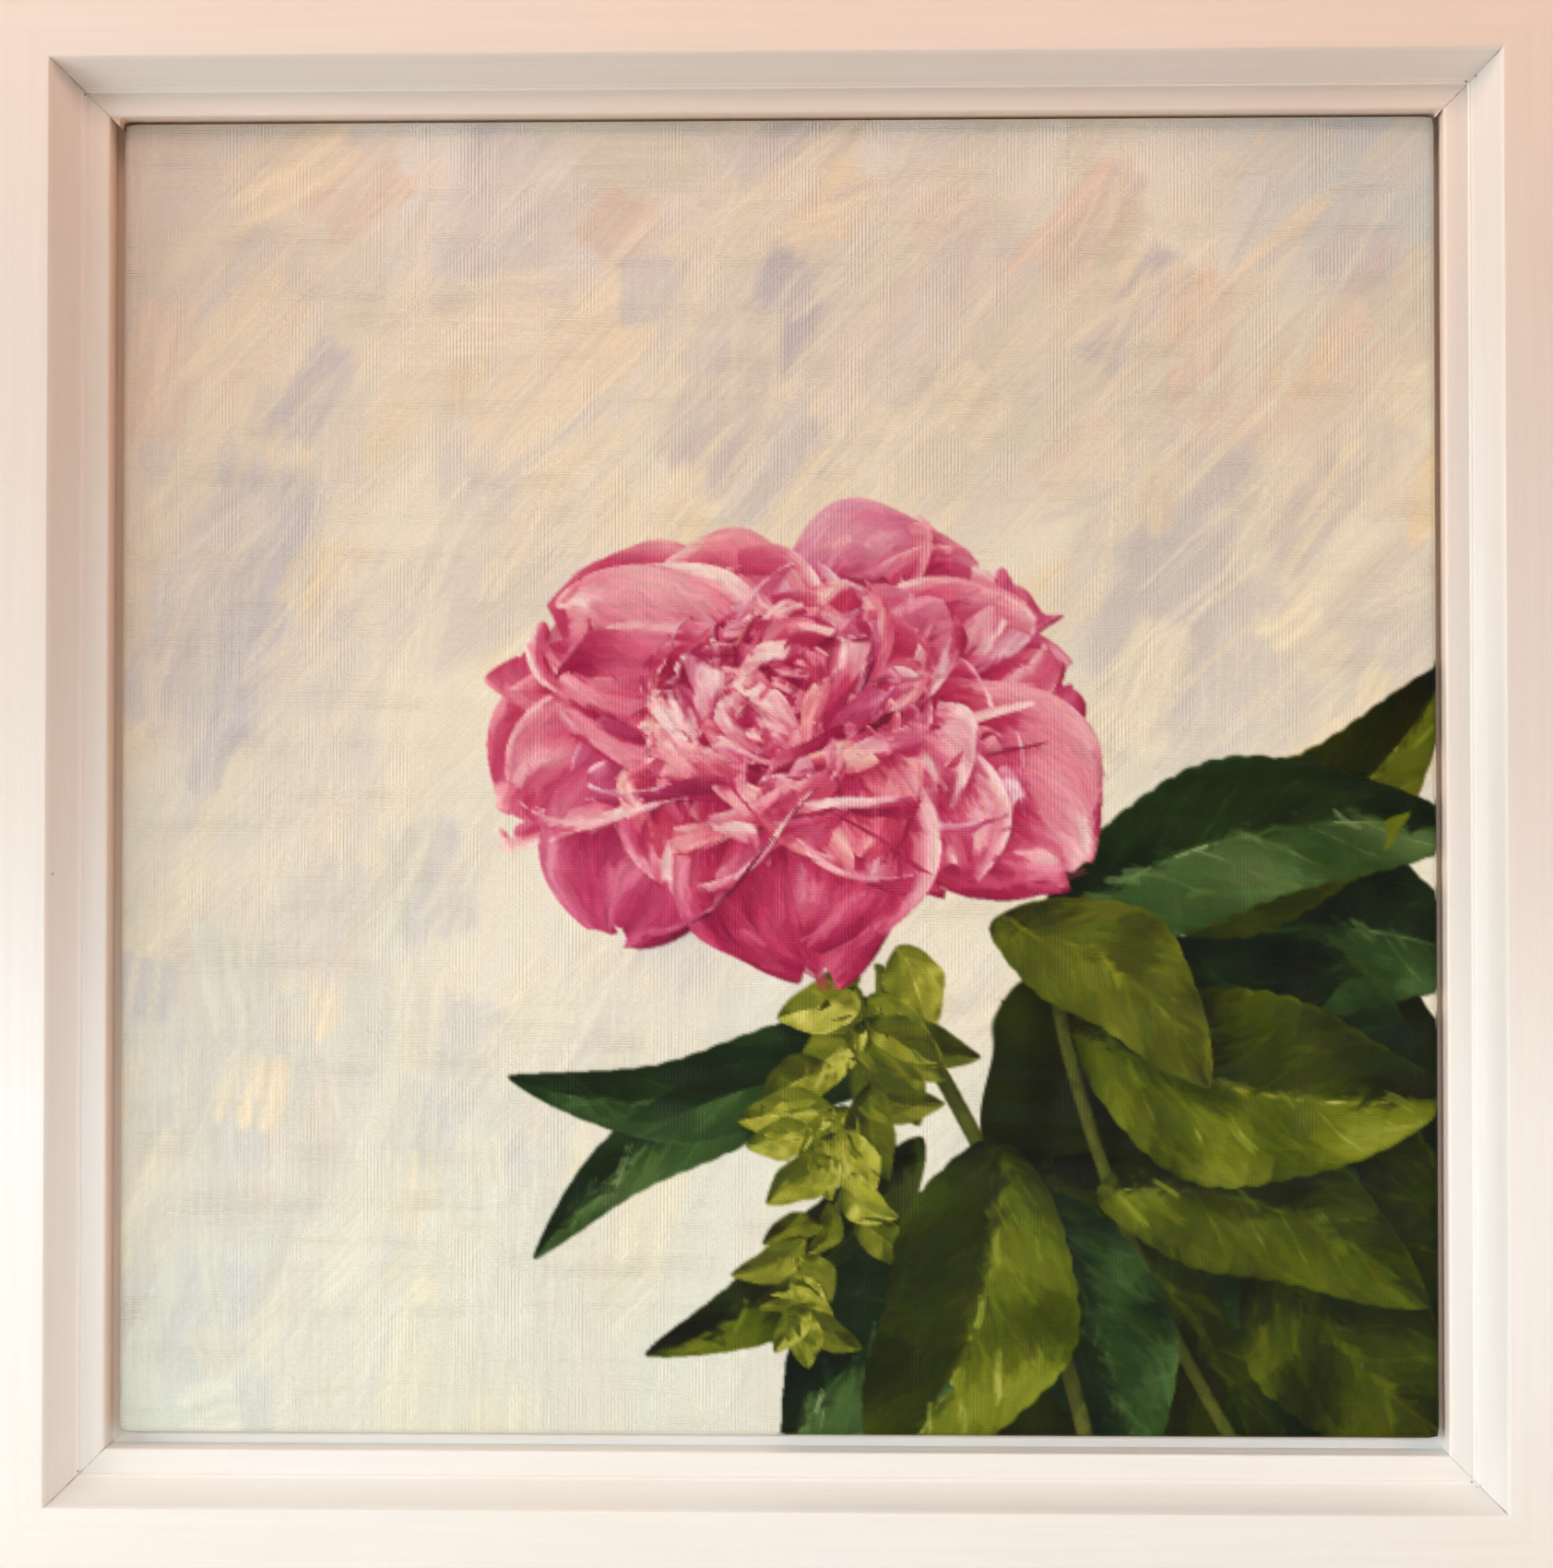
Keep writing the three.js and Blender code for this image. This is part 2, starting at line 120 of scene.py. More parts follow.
def wavy(points: Array, rng: Random, size: float, waves: int = 5) -> Array:
    """A smooth uneven field: a few sine waves of random heading and phase, added up.

    Args:
        points: places, one row each.
        rng: the seeded source of headings and phases.
        size: the waves' rough length, in the points' unit.
        waves: how many are added.

    Returns:
        Values of about -1 to 1, one per row.
    """
    heading = rng.normal(size=(points.shape[-1], waves))
    heading /= np.linalg.norm(heading, axis=0)
    rate = 2 * math.pi / (size * rng.uniform(0.6, 1.6, waves))
    phase = rng.uniform(0, 2 * math.pi, waves)
    return np.sin(points @ (heading * rate) + phase).sum(axis=-1) / math.sqrt(waves)


# ---------- surfaces


def grid_quads(rows: int, columns: int, round_rows: bool = False) -> Array:
    """Quads between the points of a grid numbered row by row.

    Args:
        rows: points down the grid.
        columns: points across it.
        round_rows: also joins each row's last point to its first.

    Returns:
        One row of four point numbers for each quad.
    """
    last = columns if round_rows else columns - 1
    r, c = np.meshgrid(np.arange(rows - 1) * columns, np.arange(last), indexing="ij")
    below, beside = r + columns, (c + 1) % columns
    return np.stack([r + c, r + beside, below + beside, below + c], axis=-1).reshape(-1, 4)


def grid_rim(rows: int, columns: int) -> Array:
    """The numbers of the points round a grid's edge, in order."""
    number = np.arange(rows * columns).reshape(rows, columns)
    return np.concatenate([number[:-1, -1], number[-1, :0:-1], number[:0:-1, 0], number[0, :-1]])


def unit(vectors: Array) -> Array:
    """Vectors of length one with the same headings."""
    return vectors / np.linalg.norm(vectors, axis=-1, keepdims=True)


def turned(points: Array, quarter_turns: int) -> Array:
    """Turns points clockwise about Y, as seen from the front: (x, y, z) goes to (z, y, -x).

    Args:
        points: places, with x, y and z last.
        quarter_turns: how many quarter turns.

    Returns:
        The turned points.
    """
    for _ in range(quarter_turns):
        points = np.stack([points[..., 2], points[..., 1], -points[..., 0]], axis=-1)
    return points


@dataclass
class Surface:
    """Points and faces, with what a finish reads at each point.

    Attributes:
        points: one row of x, y, z for each point, in metres.
        quads: one row of four point numbers for each face.
        caps: faces with any number of corners, as arrays of point numbers.
        flow: place along and across the surface in metres, one row per point.
        marks: named values or vectors, one row per point.
    """

    points: Array
    quads: Array
    caps: list[Array] = field(default_factory=list)
    flow: Array | None = None
    marks: dict[str, Array] = field(default_factory=dict)

    @staticmethod
    def joined(parts: list[Surface]) -> Surface:
        """Puts several surfaces into one, without their flow and marks.

        Args:
            parts: the surfaces.

        Returns:
            One surface.
        """
        starts = np.cumsum([0] + [len(part.points) for part in parts])
        return Surface(
            np.concatenate([part.points for part in parts]),
            np.concatenate([part.quads + start for part, start in zip(parts, starts)]),
            [cap + start for part, start in zip(parts, starts) for cap in part.caps],
        )

    def outward(self) -> Surface:
        """Turns a closed surface's faces round if they enclose a negative volume.

        Returns:
            The same surface.
        """
        corner = self.points[self.quads] - self.points.mean(axis=0)
        first = np.einsum("ij,ij->i", corner[:, 0], np.cross(corner[:, 1], corner[:, 2]))
        second = np.einsum("ij,ij->i", corner[:, 0], np.cross(corner[:, 2], corner[:, 3]))
        if first.sum() + second.sum() < 0:
            self.quads = self.quads[:, ::-1].copy()
            self.caps = [cap[::-1] for cap in self.caps]
        return self

    def build(self, name: str, *finishes: Material, crease: float = 40.0) -> Piece:
        """Makes the mesh object, at the origin, unturned and unscaled.

        Args:
            name: the piece's name.
            finishes: its materials, one for each slot.
            crease: edges that turn by more degrees than this stay sharp.

        Returns:
            The new object, linked to the scene.
        """
        loops = np.concatenate([self.quads.ravel(), *self.caps]).astype(np.int32)
        totals = np.concatenate([np.full(len(self.quads), 4), [len(cap) for cap in self.caps]])
        starts = np.concatenate([[0], np.cumsum(totals)[:-1]]).astype(np.int32)
        mesh = bpy.data.meshes.new(name)
        mesh.vertices.add(len(self.points))
        mesh.vertices.foreach_set("co", self.points.astype(np.float32).ravel())
        mesh.loops.add(len(loops))
        mesh.loops.foreach_set("vertex_index", loops)
        mesh.polygons.add(len(totals))
        mesh.polygons.foreach_set("loop_start", starts)
        mesh.update(calc_edges=True)
        if self.flow is not None:
            layer = mesh.uv_layers.new(name="flow")
            layer.data.foreach_set("uv", self.flow[loops].astype(np.float32).ravel())
        for key, values in self.marks.items():
            kind, column = ("FLOAT", "value") if values.ndim == 1 else ("FLOAT_VECTOR", "vector")
            mark = mesh.attributes.new(key, kind, "POINT")
            mark.data.foreach_set(column, values.astype(np.float32).ravel())
        mesh.shade_smooth()
        mesh.set_sharp_from_angle(angle=math.radians(crease))
        for finish in finishes:
            mesh.materials.append(finish)
        piece = bpy.data.objects.new(name, mesh)
        bpy.context.scene.collection.objects.link(piece)
        return piece


def tube(rings: Array, flow: Array | None = None) -> Surface:
    """Joins rings of points in a row and caps the first and the last.

    Args:
        rings: rings by points round each by x, y, z.
        flow: each point's place along and across, if a finish reads it.

    Returns:
        A closed surface.
    """
    rows, count = rings.shape[:2]
    caps = [np.arange(count)[::-1], (rows - 1) * count + np.arange(count)]
    return Surface(rings.reshape(-1, 3), grid_quads(rows, count, True), caps, flow).outward()


def revolved(profile: Array, centre: Array, segments: int = 40) -> Surface:
    """Turns a profile about the line along Y through a centre: (r cos a, y, r sin a).

    Args:
        profile: (radius, y) rows from one pole on the line to the other.
        centre: the point that the profile's y counts from.
        segments: steps round the line.

    Returns:
        A closed surface whose poles are caps.
    """
    angle = np.linspace(0, 2 * math.pi, segments, endpoint=False)
    inner = profile[1:-1]
    ring = np.stack(
        [
            inner[:, :1] * np.cos(angle),
            np.repeat(inner[:, 1:], segments, axis=1),
            inner[:, :1] * np.sin(angle),
        ],
        axis=-1,
    )
    return tube(ring + centre)


def swept(path: Array, across: Array, section: Array) -> Surface:
    """Carries a closed section along a flat path, square to it, and caps both ends.

    Args:
        path: the path's points, in one plane.
        across: the unit vector square to that plane.
        section: (out of the plane, in the plane) rows round the section.

    Returns:
        A closed surface.
    """
    side = np.cross(unit(np.gradient(path, axis=0)), across)
    rings = path[:, None] + section[None, :, :1] * across + section[None, :, 1:] * side[:, None]
    return tube(rings)


# ---------- shader groups


class Wiring:
    """Adds nodes to one tree and joins them."""

    def __init__(self, tree: Tree) -> None:
        """Keeps the tree that every later call adds to."""
        self.tree = tree

    def put(self, socket: Socket, value: Socket | float | tuple) -> None:
        """Joins a socket into another, or sets it to a plain value.

        Args:
            socket: where it goes.
            value: what goes there.
        """
        if isinstance(value, Socket):
            self.tree.links.new(value, socket)
        else:
            socket.default_value = value

    def node(self, kind: str, inputs: dict | None = None, **settings: object) -> Node:
        """Adds a node.

        Args:
            kind: the node's type without its ShaderNode prefix.
            inputs: what goes into each of its sockets, by name or number.
            settings: its own properties.

        Returns:
            The new node.
        """
        node = self.tree.nodes.new(f"ShaderNode{kind}")
        for key, value in settings.items():
            setattr(node, key, value)
        for key, value in (inputs or {}).items():
            self.put(node.inputs[key], value)
        return node

    def math(self, operation: str, *values: Socket | float) -> Socket:
        """Adds a Math node and returns its value."""
        return self.node("Math", dict(enumerate(values)), operation=operation).outputs[0]

    def times(self, *values: Socket | float) -> Socket:
        """Multiplies several values.

        Args:
            values: sockets or numbers.

        Returns:
            Their product.
        """
        result = values[0]
        for value in values[1:]:
            result = self.math("MULTIPLY", result, value)
        return result

    def scaled(self, value: Socket | float, factor: Socket | float, plus: Socket | float) -> Socket:
        """The value times the factor, and something added."""
        return self.math("MULTIPLY_ADD", value, factor, plus)

    def total(self, *values: Socket | float) -> Socket:
        """Adds several values up.

        Args:
            values: sockets or numbers.

        Returns:
            Their sum.
        """
        result = values[0]
        for value in values[1:]:
            result = self.math("ADD", result, value)
        return result

    def rise(self, value: Socket, low: float, high: float, top: float = 1.0) -> Socket:
        """A smooth step from 0 where the value is low to top where it is high.

        Args:
            value: what it reads.
            low: where it starts.
            high: where it ends.
            top: what it gives from there on.

        Returns:
            The step's value.
        """
        spans = {"Value": value, "From Min": low, "From Max": high, "To Max": top}
        node = self.node("MapRange", spans, interpolation_type="SMOOTHSTEP")
        return node.outputs["Result"]

    def fall(self, value: Socket, low: float, high: float) -> Socket:
        """A smooth step down from 1 where the value is low to 0 where it is high."""
        return self.math("SUBTRACT", 1.0, self.rise(value, low, high))

    def mix(self, factor: Socket | float, first: Socket | tuple, second: Socket | tuple) -> Socket:
        """Mixes two colours."""
        node = self.node("Mix", {0: factor, 6: first, 7: second}, data_type="RGBA")
        return node.outputs[2]

    def shade(self, colour: Socket | tuple, factor: Socket | float) -> Socket:
        """Multiplies a colour by a value."""
        inputs = {0: colour, "Scale": factor}
        return self.node("VectorMath", inputs, operation="SCALE").outputs[0]

    def noise(self, vector: Socket, scale: float, detail: float = 2.0) -> Socket:
        """Smooth noise from about 0.2 to 0.8."""
        inputs = {"Vector": vector, "Scale": scale, "Detail": detail}
        return self.node("TexNoise", inputs).outputs[0]

    def vector(self, x: Socket | float, y: Socket | float, z: Socket | float = 0.0) -> Socket:
        """Puts three values into a vector."""
        return self.node("CombineXYZ", {0: x, 1: y, 2: z}).outputs[0]

    def parts(self, vector: Socket) -> list[Socket]:
        """Takes a vector's three values out."""
        return list(self.node("SeparateXYZ", {0: vector}).outputs)

    def mark(self, name: str) -> Node:
        """Reads a mark that the mesh carries."""
        return self.node("Attribute", attribute_name=name, attribute_type="GEOMETRY")

    def place(self) -> Socket:
        """The point itself, in metres in the row's frame."""
        return self.node("TexCoord").outputs["Object"]

    def flow(self) -> Socket:
        """The place along and across the surface, in metres."""
        return self.node("UVMap", uv_map="flow").outputs[0]

    def group(self, tree: Tree, **inputs: Socket | float) -> Node:
        """Places one of the shared groups, with its own values.

        Args:
            tree: the group.
            inputs: its values, with _ for spaces.

        Returns:
            The group's node.
        """
        node = self.node("Group", node_tree=tree)
        for key, value in inputs.items():
            self.put(node.inputs[key.replace("_", " ")], value)
        return node


class GroupTree:
    """A shader node group that several finishes share."""

    def __init__(self, name: str, inputs: dict[str, float | None], outputs: tuple[str, ...]) -> None:
        """Makes the group's sockets.

        Args:
            name: the group's name.
            inputs: each input's default, or None for a vector.
            outputs: the names of the values that it gives.
        """
        self.tree = bpy.data.node_groups.new(name, "ShaderNodeTree")
        for key, default in inputs.items():
            kind = "NodeSocketVector" if default is None else "NodeSocketFloat"
            socket = self.tree.interface.new_socket(name=key, in_out="INPUT", socket_type=kind)
            if default is not None:
                socket.default_value = default
        for key in outputs:
            self.tree.interface.new_socket(name=key, in_out="OUTPUT", socket_type="NodeSocketFloat")
        self.entry = self.tree.nodes.new("NodeGroupInput").outputs
        self.exit = self.tree.nodes.new("NodeGroupOutput").inputs
        self.wiring = Wiring(self.tree)

    def give(self, **values: Socket) -> Tree:
        """Joins the named outputs.

        Args:
            values: what each output gives.

        Returns:
            The finished tree.
        """
        for key, value in values.items():
            self.wiring.put(self.exit[key], value)
        return self.tree


def weave_group() -> Tree:
    """Plain weave: upright and level threads as ridges, with every other crossing raised.

    A ridge is a sine whose half wave is the thread's pitch. Noise drawn out along the threads bends
    them and makes some thicker, and slow noise lets the upright ones show here and the level ones
    there.

    Returns:
        The group's tree.
    """
    made = GroupTree("weave", {"Across": 0, "Up": 0, "Pitch Across": 1, "Pitch Up": 1}, ("Height",))
    w, entry = made.wiring, made.entry
    spot = w.vector(entry["Across"], entry["Up"])
    waves, ridges = [], []
    for axis, other in (("Across", "Up"), ("Up", "Across")):
        thread = w.vector(w.times(entry[axis], 160.0), w.times(entry[other], 9.0))
        drift = w.noise(thread, 1.0)
        bent = w.scaled(drift, 0.0008, entry[axis])
        angle = w.times(w.math("DIVIDE", bent, entry[f"Pitch {axis}"]), math.pi)
        waves.append(w.math("SINE", angle))
        ridges.append(w.times(w.math("ABSOLUTE", waves[-1]), w.rise(drift, 0.3, 0.7, 0.8)))
    blotchy = w.rise(w.noise(spot, 70), 0.35, 0.65)
    upright = w.times(ridges[0], w.math("SUBTRACT", 1.1, blotchy))
    level = w.times(ridges[1], w.math("ADD", blotchy, 0.3))
    crossing = w.times(*waves, 0.12)
    return made.give(Height=w.total(crossing, upright, w.math("SUBTRACT", level, 0.6)))


def bristle_group() -> Tree:
    """Brush marks: noise drawn out along the stroke, coarse and fine, far finer across it.

    Returns:
        The group's tree.
    """
    made = GroupTree("bristles", {"Flow": None, "Along": 30, "Across": 700, "Seed": 0}, ("Tone", "Height"))
    w, entry = made.wiring, made.entry
    along, across, _ = w.parts(entry["Flow"])
    tones = []
    for finer in (1.0, 3.1):
        spot = w.vector(
            w.times(along, w.times(entry["Along"], finer)),
            w.times(across, w.times(entry["Across"], finer)),
            entry["Seed"],
        )
        tones.append(w.noise(spot, 1.0))
    tone = w.total(w.times(tones[0], 0.65), w.times(tones[1], 0.35))
    return made.give(Tone=w.rise(tone, 0.3, 0.7), Height=tone)


def grain_group() -> Tree:
    """Wood grain: year rings as bent bands along the piece, with fine fibres between them.

    Returns:
        The group's tree.
    """
    made = GroupTree("wood grain", {"Grain": None, "Bands": 260, "Seed": 0}, ("Tone", "Height"))
    w, entry = made.wiring, made.entry
    along, across, deep = w.parts(entry["Grain"])
    slow = w.vector(w.times(along, 3.0), w.times(across, 18.0), entry["Seed"])
    uneven = w.vector(w.times(along, 1.2), w.times(across, 190.0), entry["Seed"])
    bend = w.total(w.times(w.noise(slow, 1.0), 9.0), w.times(w.noise(uneven, 1.0), 13.0))
    slant = w.total(across, w.times(deep, 0.7))
    rings = w.math("SINE", w.scaled(slant, entry["Bands"], bend))
    thread = w.vector(w.times(along, 55.0), w.times(across, 2600.0), w.times(deep, 2600.0))
    fibres = w.noise(thread, 1.0, 3)
    patch = w.vector(w.times(along, 2.2), w.times(across, 70.0), 4.0)
    strong = w.rise(w.noise(patch, 1.0), 0.25, 0.75, 0.5)
    tone = w.total(w.times(w.rise(rings, -0.4, 1.0), strong), w.times(fibres, 0.6))
    return made.give(Tone=tone, Height=w.total(fibres, w.times(rings, 0.12)))


def speck_group() -> Tree:
    """Scattered small dots: the cores of random cells, kept only in a share of the cells.

    Returns:
        The group's tree.
    """
    made = GroupTree("specks", {"Spot": None, "Cells": 200, "Size": 0.1, "Share": 0.1}, ("Mask",))
    w, entry = made.wiring, made.entry
    cells = w.node("TexVoronoi", {"Vector": entry["Spot"], "Scale": entry["Cells"]})
    chance = w.parts(cells.outputs["Color"])[0]
    kept = w.math("LESS_THAN", chance, entry["Share"])
    core = w.math("DIVIDE", cells.outputs["Distance"], entry["Size"])
    return made.give(Mask=w.times(kept, w.fall(core, 0.5, 1.0)))


GROUPS = {
    "weave": weave_group(),
    "bristles": bristle_group(),
    "grain": grain_group(),
    "specks": speck_group(),
}


# ---------- finishes


def rgba(colour: Colour) -> tuple[float, float, float, float]:
    """A display colour out of 255 as the linear value that a socket holds."""
    return (*linear(np.array(colour) / 255), 1.0)


class Finish:
    """A material: its plain values, and the wiring of what changes over the surface."""

    def __init__(self, name: str, **constants: float) -> None:
        """Makes the material with its plain shader values.

        Args:
            name: the material's name.
            constants: shader sockets, with _ for spaces.
        """
        self.material = bpy.data.materials.new(name)
        self.material.use_nodes = True
        tree = self.material.node_tree
        self.shader = tree.nodes["Principled BSDF"]
        self.wiring = Wiring(tree)
        for key, value in constants.items():
            self.shader.inputs[key.replace("_", " ")].default_value = value

    def vary(self, **values: Socket) -> None:
        """Joins changing values into the shader's sockets."""
        for key, value in values.items():
            self.wiring.put(self.shader.inputs[key.replace("_", " ")], value)

    def relief(self, *layers: tuple[Socket, float]) -> None:
        """Adds relief.

        Args:
            layers: each a height from 0 to 1 and its depth in metres.
        """
        w = self.wiring
        height = w.total(*[w.times(value, depth) for value, depth in layers])
        bump = w.node("Bump", {"Height": height, "Strength": 1.0, "Distance": 1.0})
        self.vary(Normal=bump.outputs[0])


@dataclass(frozen=True)
class WhitePaint:
    """Warm white satin paint, brushed along each rail, over wood that is bare at the back.

    Places count from the frame's centre, whose height is the middle: the cove's foot and outer
    arris, and the well's edge. The coves are darkened as painted shade, and the paint inside the
    well, except on the bottom rail, is mixed towards a warm tone as painted warm shade.
    """

    middle: float
    cove: tuple[float, float]
    well: float
    back: float
    fresh: Colour = (246, 245, 243)
    yellowed: Colour = (245, 242, 237)
    # the colour of the dirt and of the painted shade along the cove's foot
    grime_and_shade: Colour = (128, 90, 66)
    wood: tuple[Colour, Colour] = ((214, 183, 140), (176, 138, 92))
    # how much the coves are darkened as painted shade
    dust: float = 0.08
    # the warm tone of the painted shade inside the well
    warm_well_shade: Colour = (245, 224, 208)

    def material(self) -> Material:
        """Paint in brushed streaks, dirt in the mitres, painted shade along the cove's foot near the corners,
        painted shade in the coves and the well, and bare wood.

        Returns:
            The material.
        """
        finish = Finish("white paint", Specular_IOR_Level=0.45)
        w = finish.wiring
        place = w.place()
        x, y, z = w.parts(place)
        wide, high = w.math("ABSOLUTE", x), w.math("ABSOLUTE", w.math("SUBTRACT", z, self.middle))
        mitre = w.math("ABSOLUTE", w.math("SUBTRACT", wide, high))
        ring = w.math("MAXIMUM", wide, high)
        within = w.fall(ring, self.cove[1] - 0.0008, self.cove[1])
        inside = w.times(w.rise(ring, self.well - 0.0005, self.well + 0.0005), within)
        inner = w.fall(ring, self.well - 0.0002, self.well + 0.0004)
        patchy = w.rise(w.noise(place, 230, 4), 0.44, 0.6)
        joint = w.fall(mitre, 0.00004, 0.0003)
        foot = w.math("ABSOLUTE", w.math("SUBTRACT", ring, self.cove[0]))
        # painted shade: a blotchy dark line along the cove's foot near the mitres, joined to the mitre dirt
        crease = w.fall(foot, 0.0, 0.00035)
        blotchy = w.rise(w.noise(place, 38), 0.5, 0.66)
        near = w.fall(mitre, 0.002, 0.02)
        crease = w.times(crease, blotchy, near, 0.3)
        dirt_and_shade = w.times(joint, w.scaled(patchy, 0.55, 0.12))
        at_bead = w.fall(w.math("ADD", foot, mitre), 0.0008, 0.0022)
        chips = w.group(GROUPS["specks"], Spot=place, Cells=950.0, Size=0.45, Share=0.4)
        dirt_and_shade = w.math("MAXIMUM", dirt_and_shade, w.times(chips.outputs[0], at_bead, 0.8))
        dirt_and_shade = w.times(w.math("MAXIMUM", dirt_and_shade, w.times(crease, 0.5)), inside)
        specks = w.group(GROUPS["specks"], Spot=place, Cells=115.0, Size=0.05, Share=0.035)
        dirt_and_shade = w.math("MAXIMUM", dirt_and_shade, w.times(specks.outputs[0], 0.75))
        brush = w.group(GROUPS["bristles"], Flow=w.flow(), Along=14.0, Across=520.0)
        aged = w.rise(w.noise(place, 9, 3), 0.35, 0.7)
        paint = w.mix(aged, rgba(self.fresh), rgba(self.yellowed))
        paint = w.shade(paint, w.scaled(brush.outputs["Tone"], 0.03, 0.97))
        # painted shade: the paint in the coves is darkened by the dust factor
        cove_shade = w.times(w.rise(ring, self.cove[0], self.cove[0] + 0.0006), within)
        paint = w.shade(paint, w.scaled(cove_shade, -self.dust, 1.0))
        # painted warm shade: the paint inside the well, except on the bottom rail, is mixed towards a warm
        # tone
        well_shade = w.times(inner, w.rise(z, self.middle - 0.152, self.middle - 0.147))
        paint = w.mix(well_shade, paint, rgba(self.warm_well_shade))
        paint = w.mix(dirt_and_shade, paint, rgba(self.grime_and_shade))
        grain = w.group(GROUPS["grain"], Grain=w.mark("grain").outputs["Vector"], Bands=1500.0)
        timber = w.mix(grain.outputs["Tone"], rgba(self.wood[0]), rgba(self.wood[1]))
        behind = w.rise(y, self.back - 0.0015, self.back - 0.0002)
        bare = w.rise(w.total(behind, w.times(w.noise(place, 260, 3), 0.3)), 0.6, 0.68)
        finish.vary(
            Base_Color=w.mix(bare, paint, timber),
            Roughness=w.scaled(bare, 0.3, w.scaled(aged, 0.06, 0.34)),
        )
        peel = w.noise(place, 700)
        finish.relief(
            (brush.outputs["Height"], 0.00009),
            (peel, 0.00005),
            (dirt_and_shade, -0.00002),
            (w.times(grain.outputs["Height"], bare), 0.00012),
        )
        return finish.material


@dataclass(frozen=True)
class BareWood:
    """Unfinished wood with its grain along the piece."""

    name: str
    light: Colour
    dark: Colour
    bands: float

    def material(self) -> Material:
        """Rings and fibres in two colours, with a few darker stains.

        Returns:
            The material.
        """
        finish = Finish(self.name, Specular_IOR_Level=0.25)
        w = finish.wiring
        mark = w.mark("grain").outputs["Vector"]
        grain = w.group(GROUPS["grain"], Grain=mark, Bands=self.bands, Seed=2.0)
        colour = w.mix(grain.outputs["Tone"], rgba(self.light), rgba(self.dark))
        stain = w.rise(w.noise(w.place(), 30, 4), 0.45, 0.75)
        colour = w.shade(colour, w.scaled(stain, -0.16, 1.0))
        finish.vary(
            Base_Color=colour, Roughness=w.scaled(grain.outputs["Tone"], 0.12, 0.58)
        )
        finish.relief((grain.outputs["Height"], 0.00014))
        return finish.material


@dataclass(frozen=True)
class Metal:
    """Pressed, drawn or turned metal with fine scratches and a little tarnish."""

    name: str
    colour: Colour
    tarnish: Colour
    roughness: float

    def material(self) -> Material:
        """Tarnish in soft patches, and scratches that catch the light.

        Returns:
            The material.
        """
        finish = Finish(self.name, Metallic=1.0)
        w = finish.wiring
        place = w.place()
        stretched = w.node("VectorMath", {0: place, 1: (1.0, 1.0, 0.12)}, operation="MULTIPLY")
        scratch = w.noise(stretched.outputs[0], 5200, 3)
        dull = w.rise(w.noise(place, 420, 3), 0.45, 0.7)
        rough = w.total(w.times(dull, 0.2), w.times(scratch, 0.2), self.roughness)
        finish.vary(Base_Color=w.mix(dull, rgba(self.colour), rgba(self.tarnish)), Roughness=rough)
        finish.relief((scratch, 0.00002))
        return finish.material


@dataclass(frozen=True)
class Rubber:
    """Matt moulded rubber, a little dusty."""

    colour: Colour = (44, 42, 41)
    dust: Colour = (120, 114, 106)

    def material(self) -> Material:
        """A fine pebbled surface with dust on it.

        Returns:
            The material.
        """
        finish = Finish("bumper rubber", Specular_IOR_Level=0.35)
        w = finish.wiring
        place = w.place()
        dusty = w.rise(w.noise(place, 600, 4), 0.5, 0.8, 0.5)
        finish.vary(
            Base_Color=w.mix(dusty, rgba(self.colour), rgba(self.dust)),
            Roughness=w.scaled(dusty, 0.3, 0.55),
        )
        finish.relief((w.noise(place, 2600), 0.00004))
        return finish.material


@dataclass(frozen=True)
class Threads:
    """The canvas's thread pitches in metres, across and up."""

    across: float = 0.82 * MM
    up: float = 0.60 * MM

    def height(self, w: Wiring, across: Socket, up: Socket) -> Socket:
        """The weave's height at a place on the cloth."""
        pitches = {"Pitch_Across": self.across, "Pitch_Up": self.up}
        return w.group(GROUPS["weave"], Across=across, Up=up, **pitches).outputs[0]


@dataclass(frozen=True)
class BareCloth:
    """Cotton canvas: white with its ground outside, or as woven inside.

    Where it is daubed, the mesh says where the brush went and in which colour.
    """

    name: str
    colour: Colour
    slub: Colour
    daubed: bool = False
    threads: Threads = Threads()

    def material(self) -> Material:
        """Threads with hollows darkened as painted shade, a few thick slubs and seed flecks.

        Returns:
            The material.
        """
        finish = Finish(self.name, Specular_IOR_Level=0.2, Sheen_Weight=0.15)
        w = finish.wiring
        across, up, _ = w.parts(w.flow())
        height = self.threads.height(w, across, up)
        spot = w.vector(across, up)
        tint = w.rise(w.noise(spot, 60, 4), 0.35, 0.7)
        colour = w.mix(tint, rgba(self.colour), rgba(self.slub))
        # painted shade: the weave's hollows are darkened and its threads lightened by their height
        colour = w.shade(colour, w.scaled(height, 0.07, 0.95))
        fleck = w.group(GROUPS["specks"], Spot=spot, Cells=260.0, Size=0.12, Share=0.03)
        colour = w.mix(w.times(fleck.outputs[0], 0.5), colour, rgba(self.slub))
        if self.daubed:
            ragged = w.total(w.mark("daub").outputs["Fac"], w.noise(spot, 220, 3))
            colour = w.mix(w.rise(ragged, 0.95, 1.1), colour, w.mark("paint").outputs["Color"])
        finish.vary(Base_Color=colour, Roughness=w.scaled(tint, 0.1, 0.75))
        finish.relief((height, 0.00010), (w.noise(spot, 1400), 0.00006))
        return finish.material


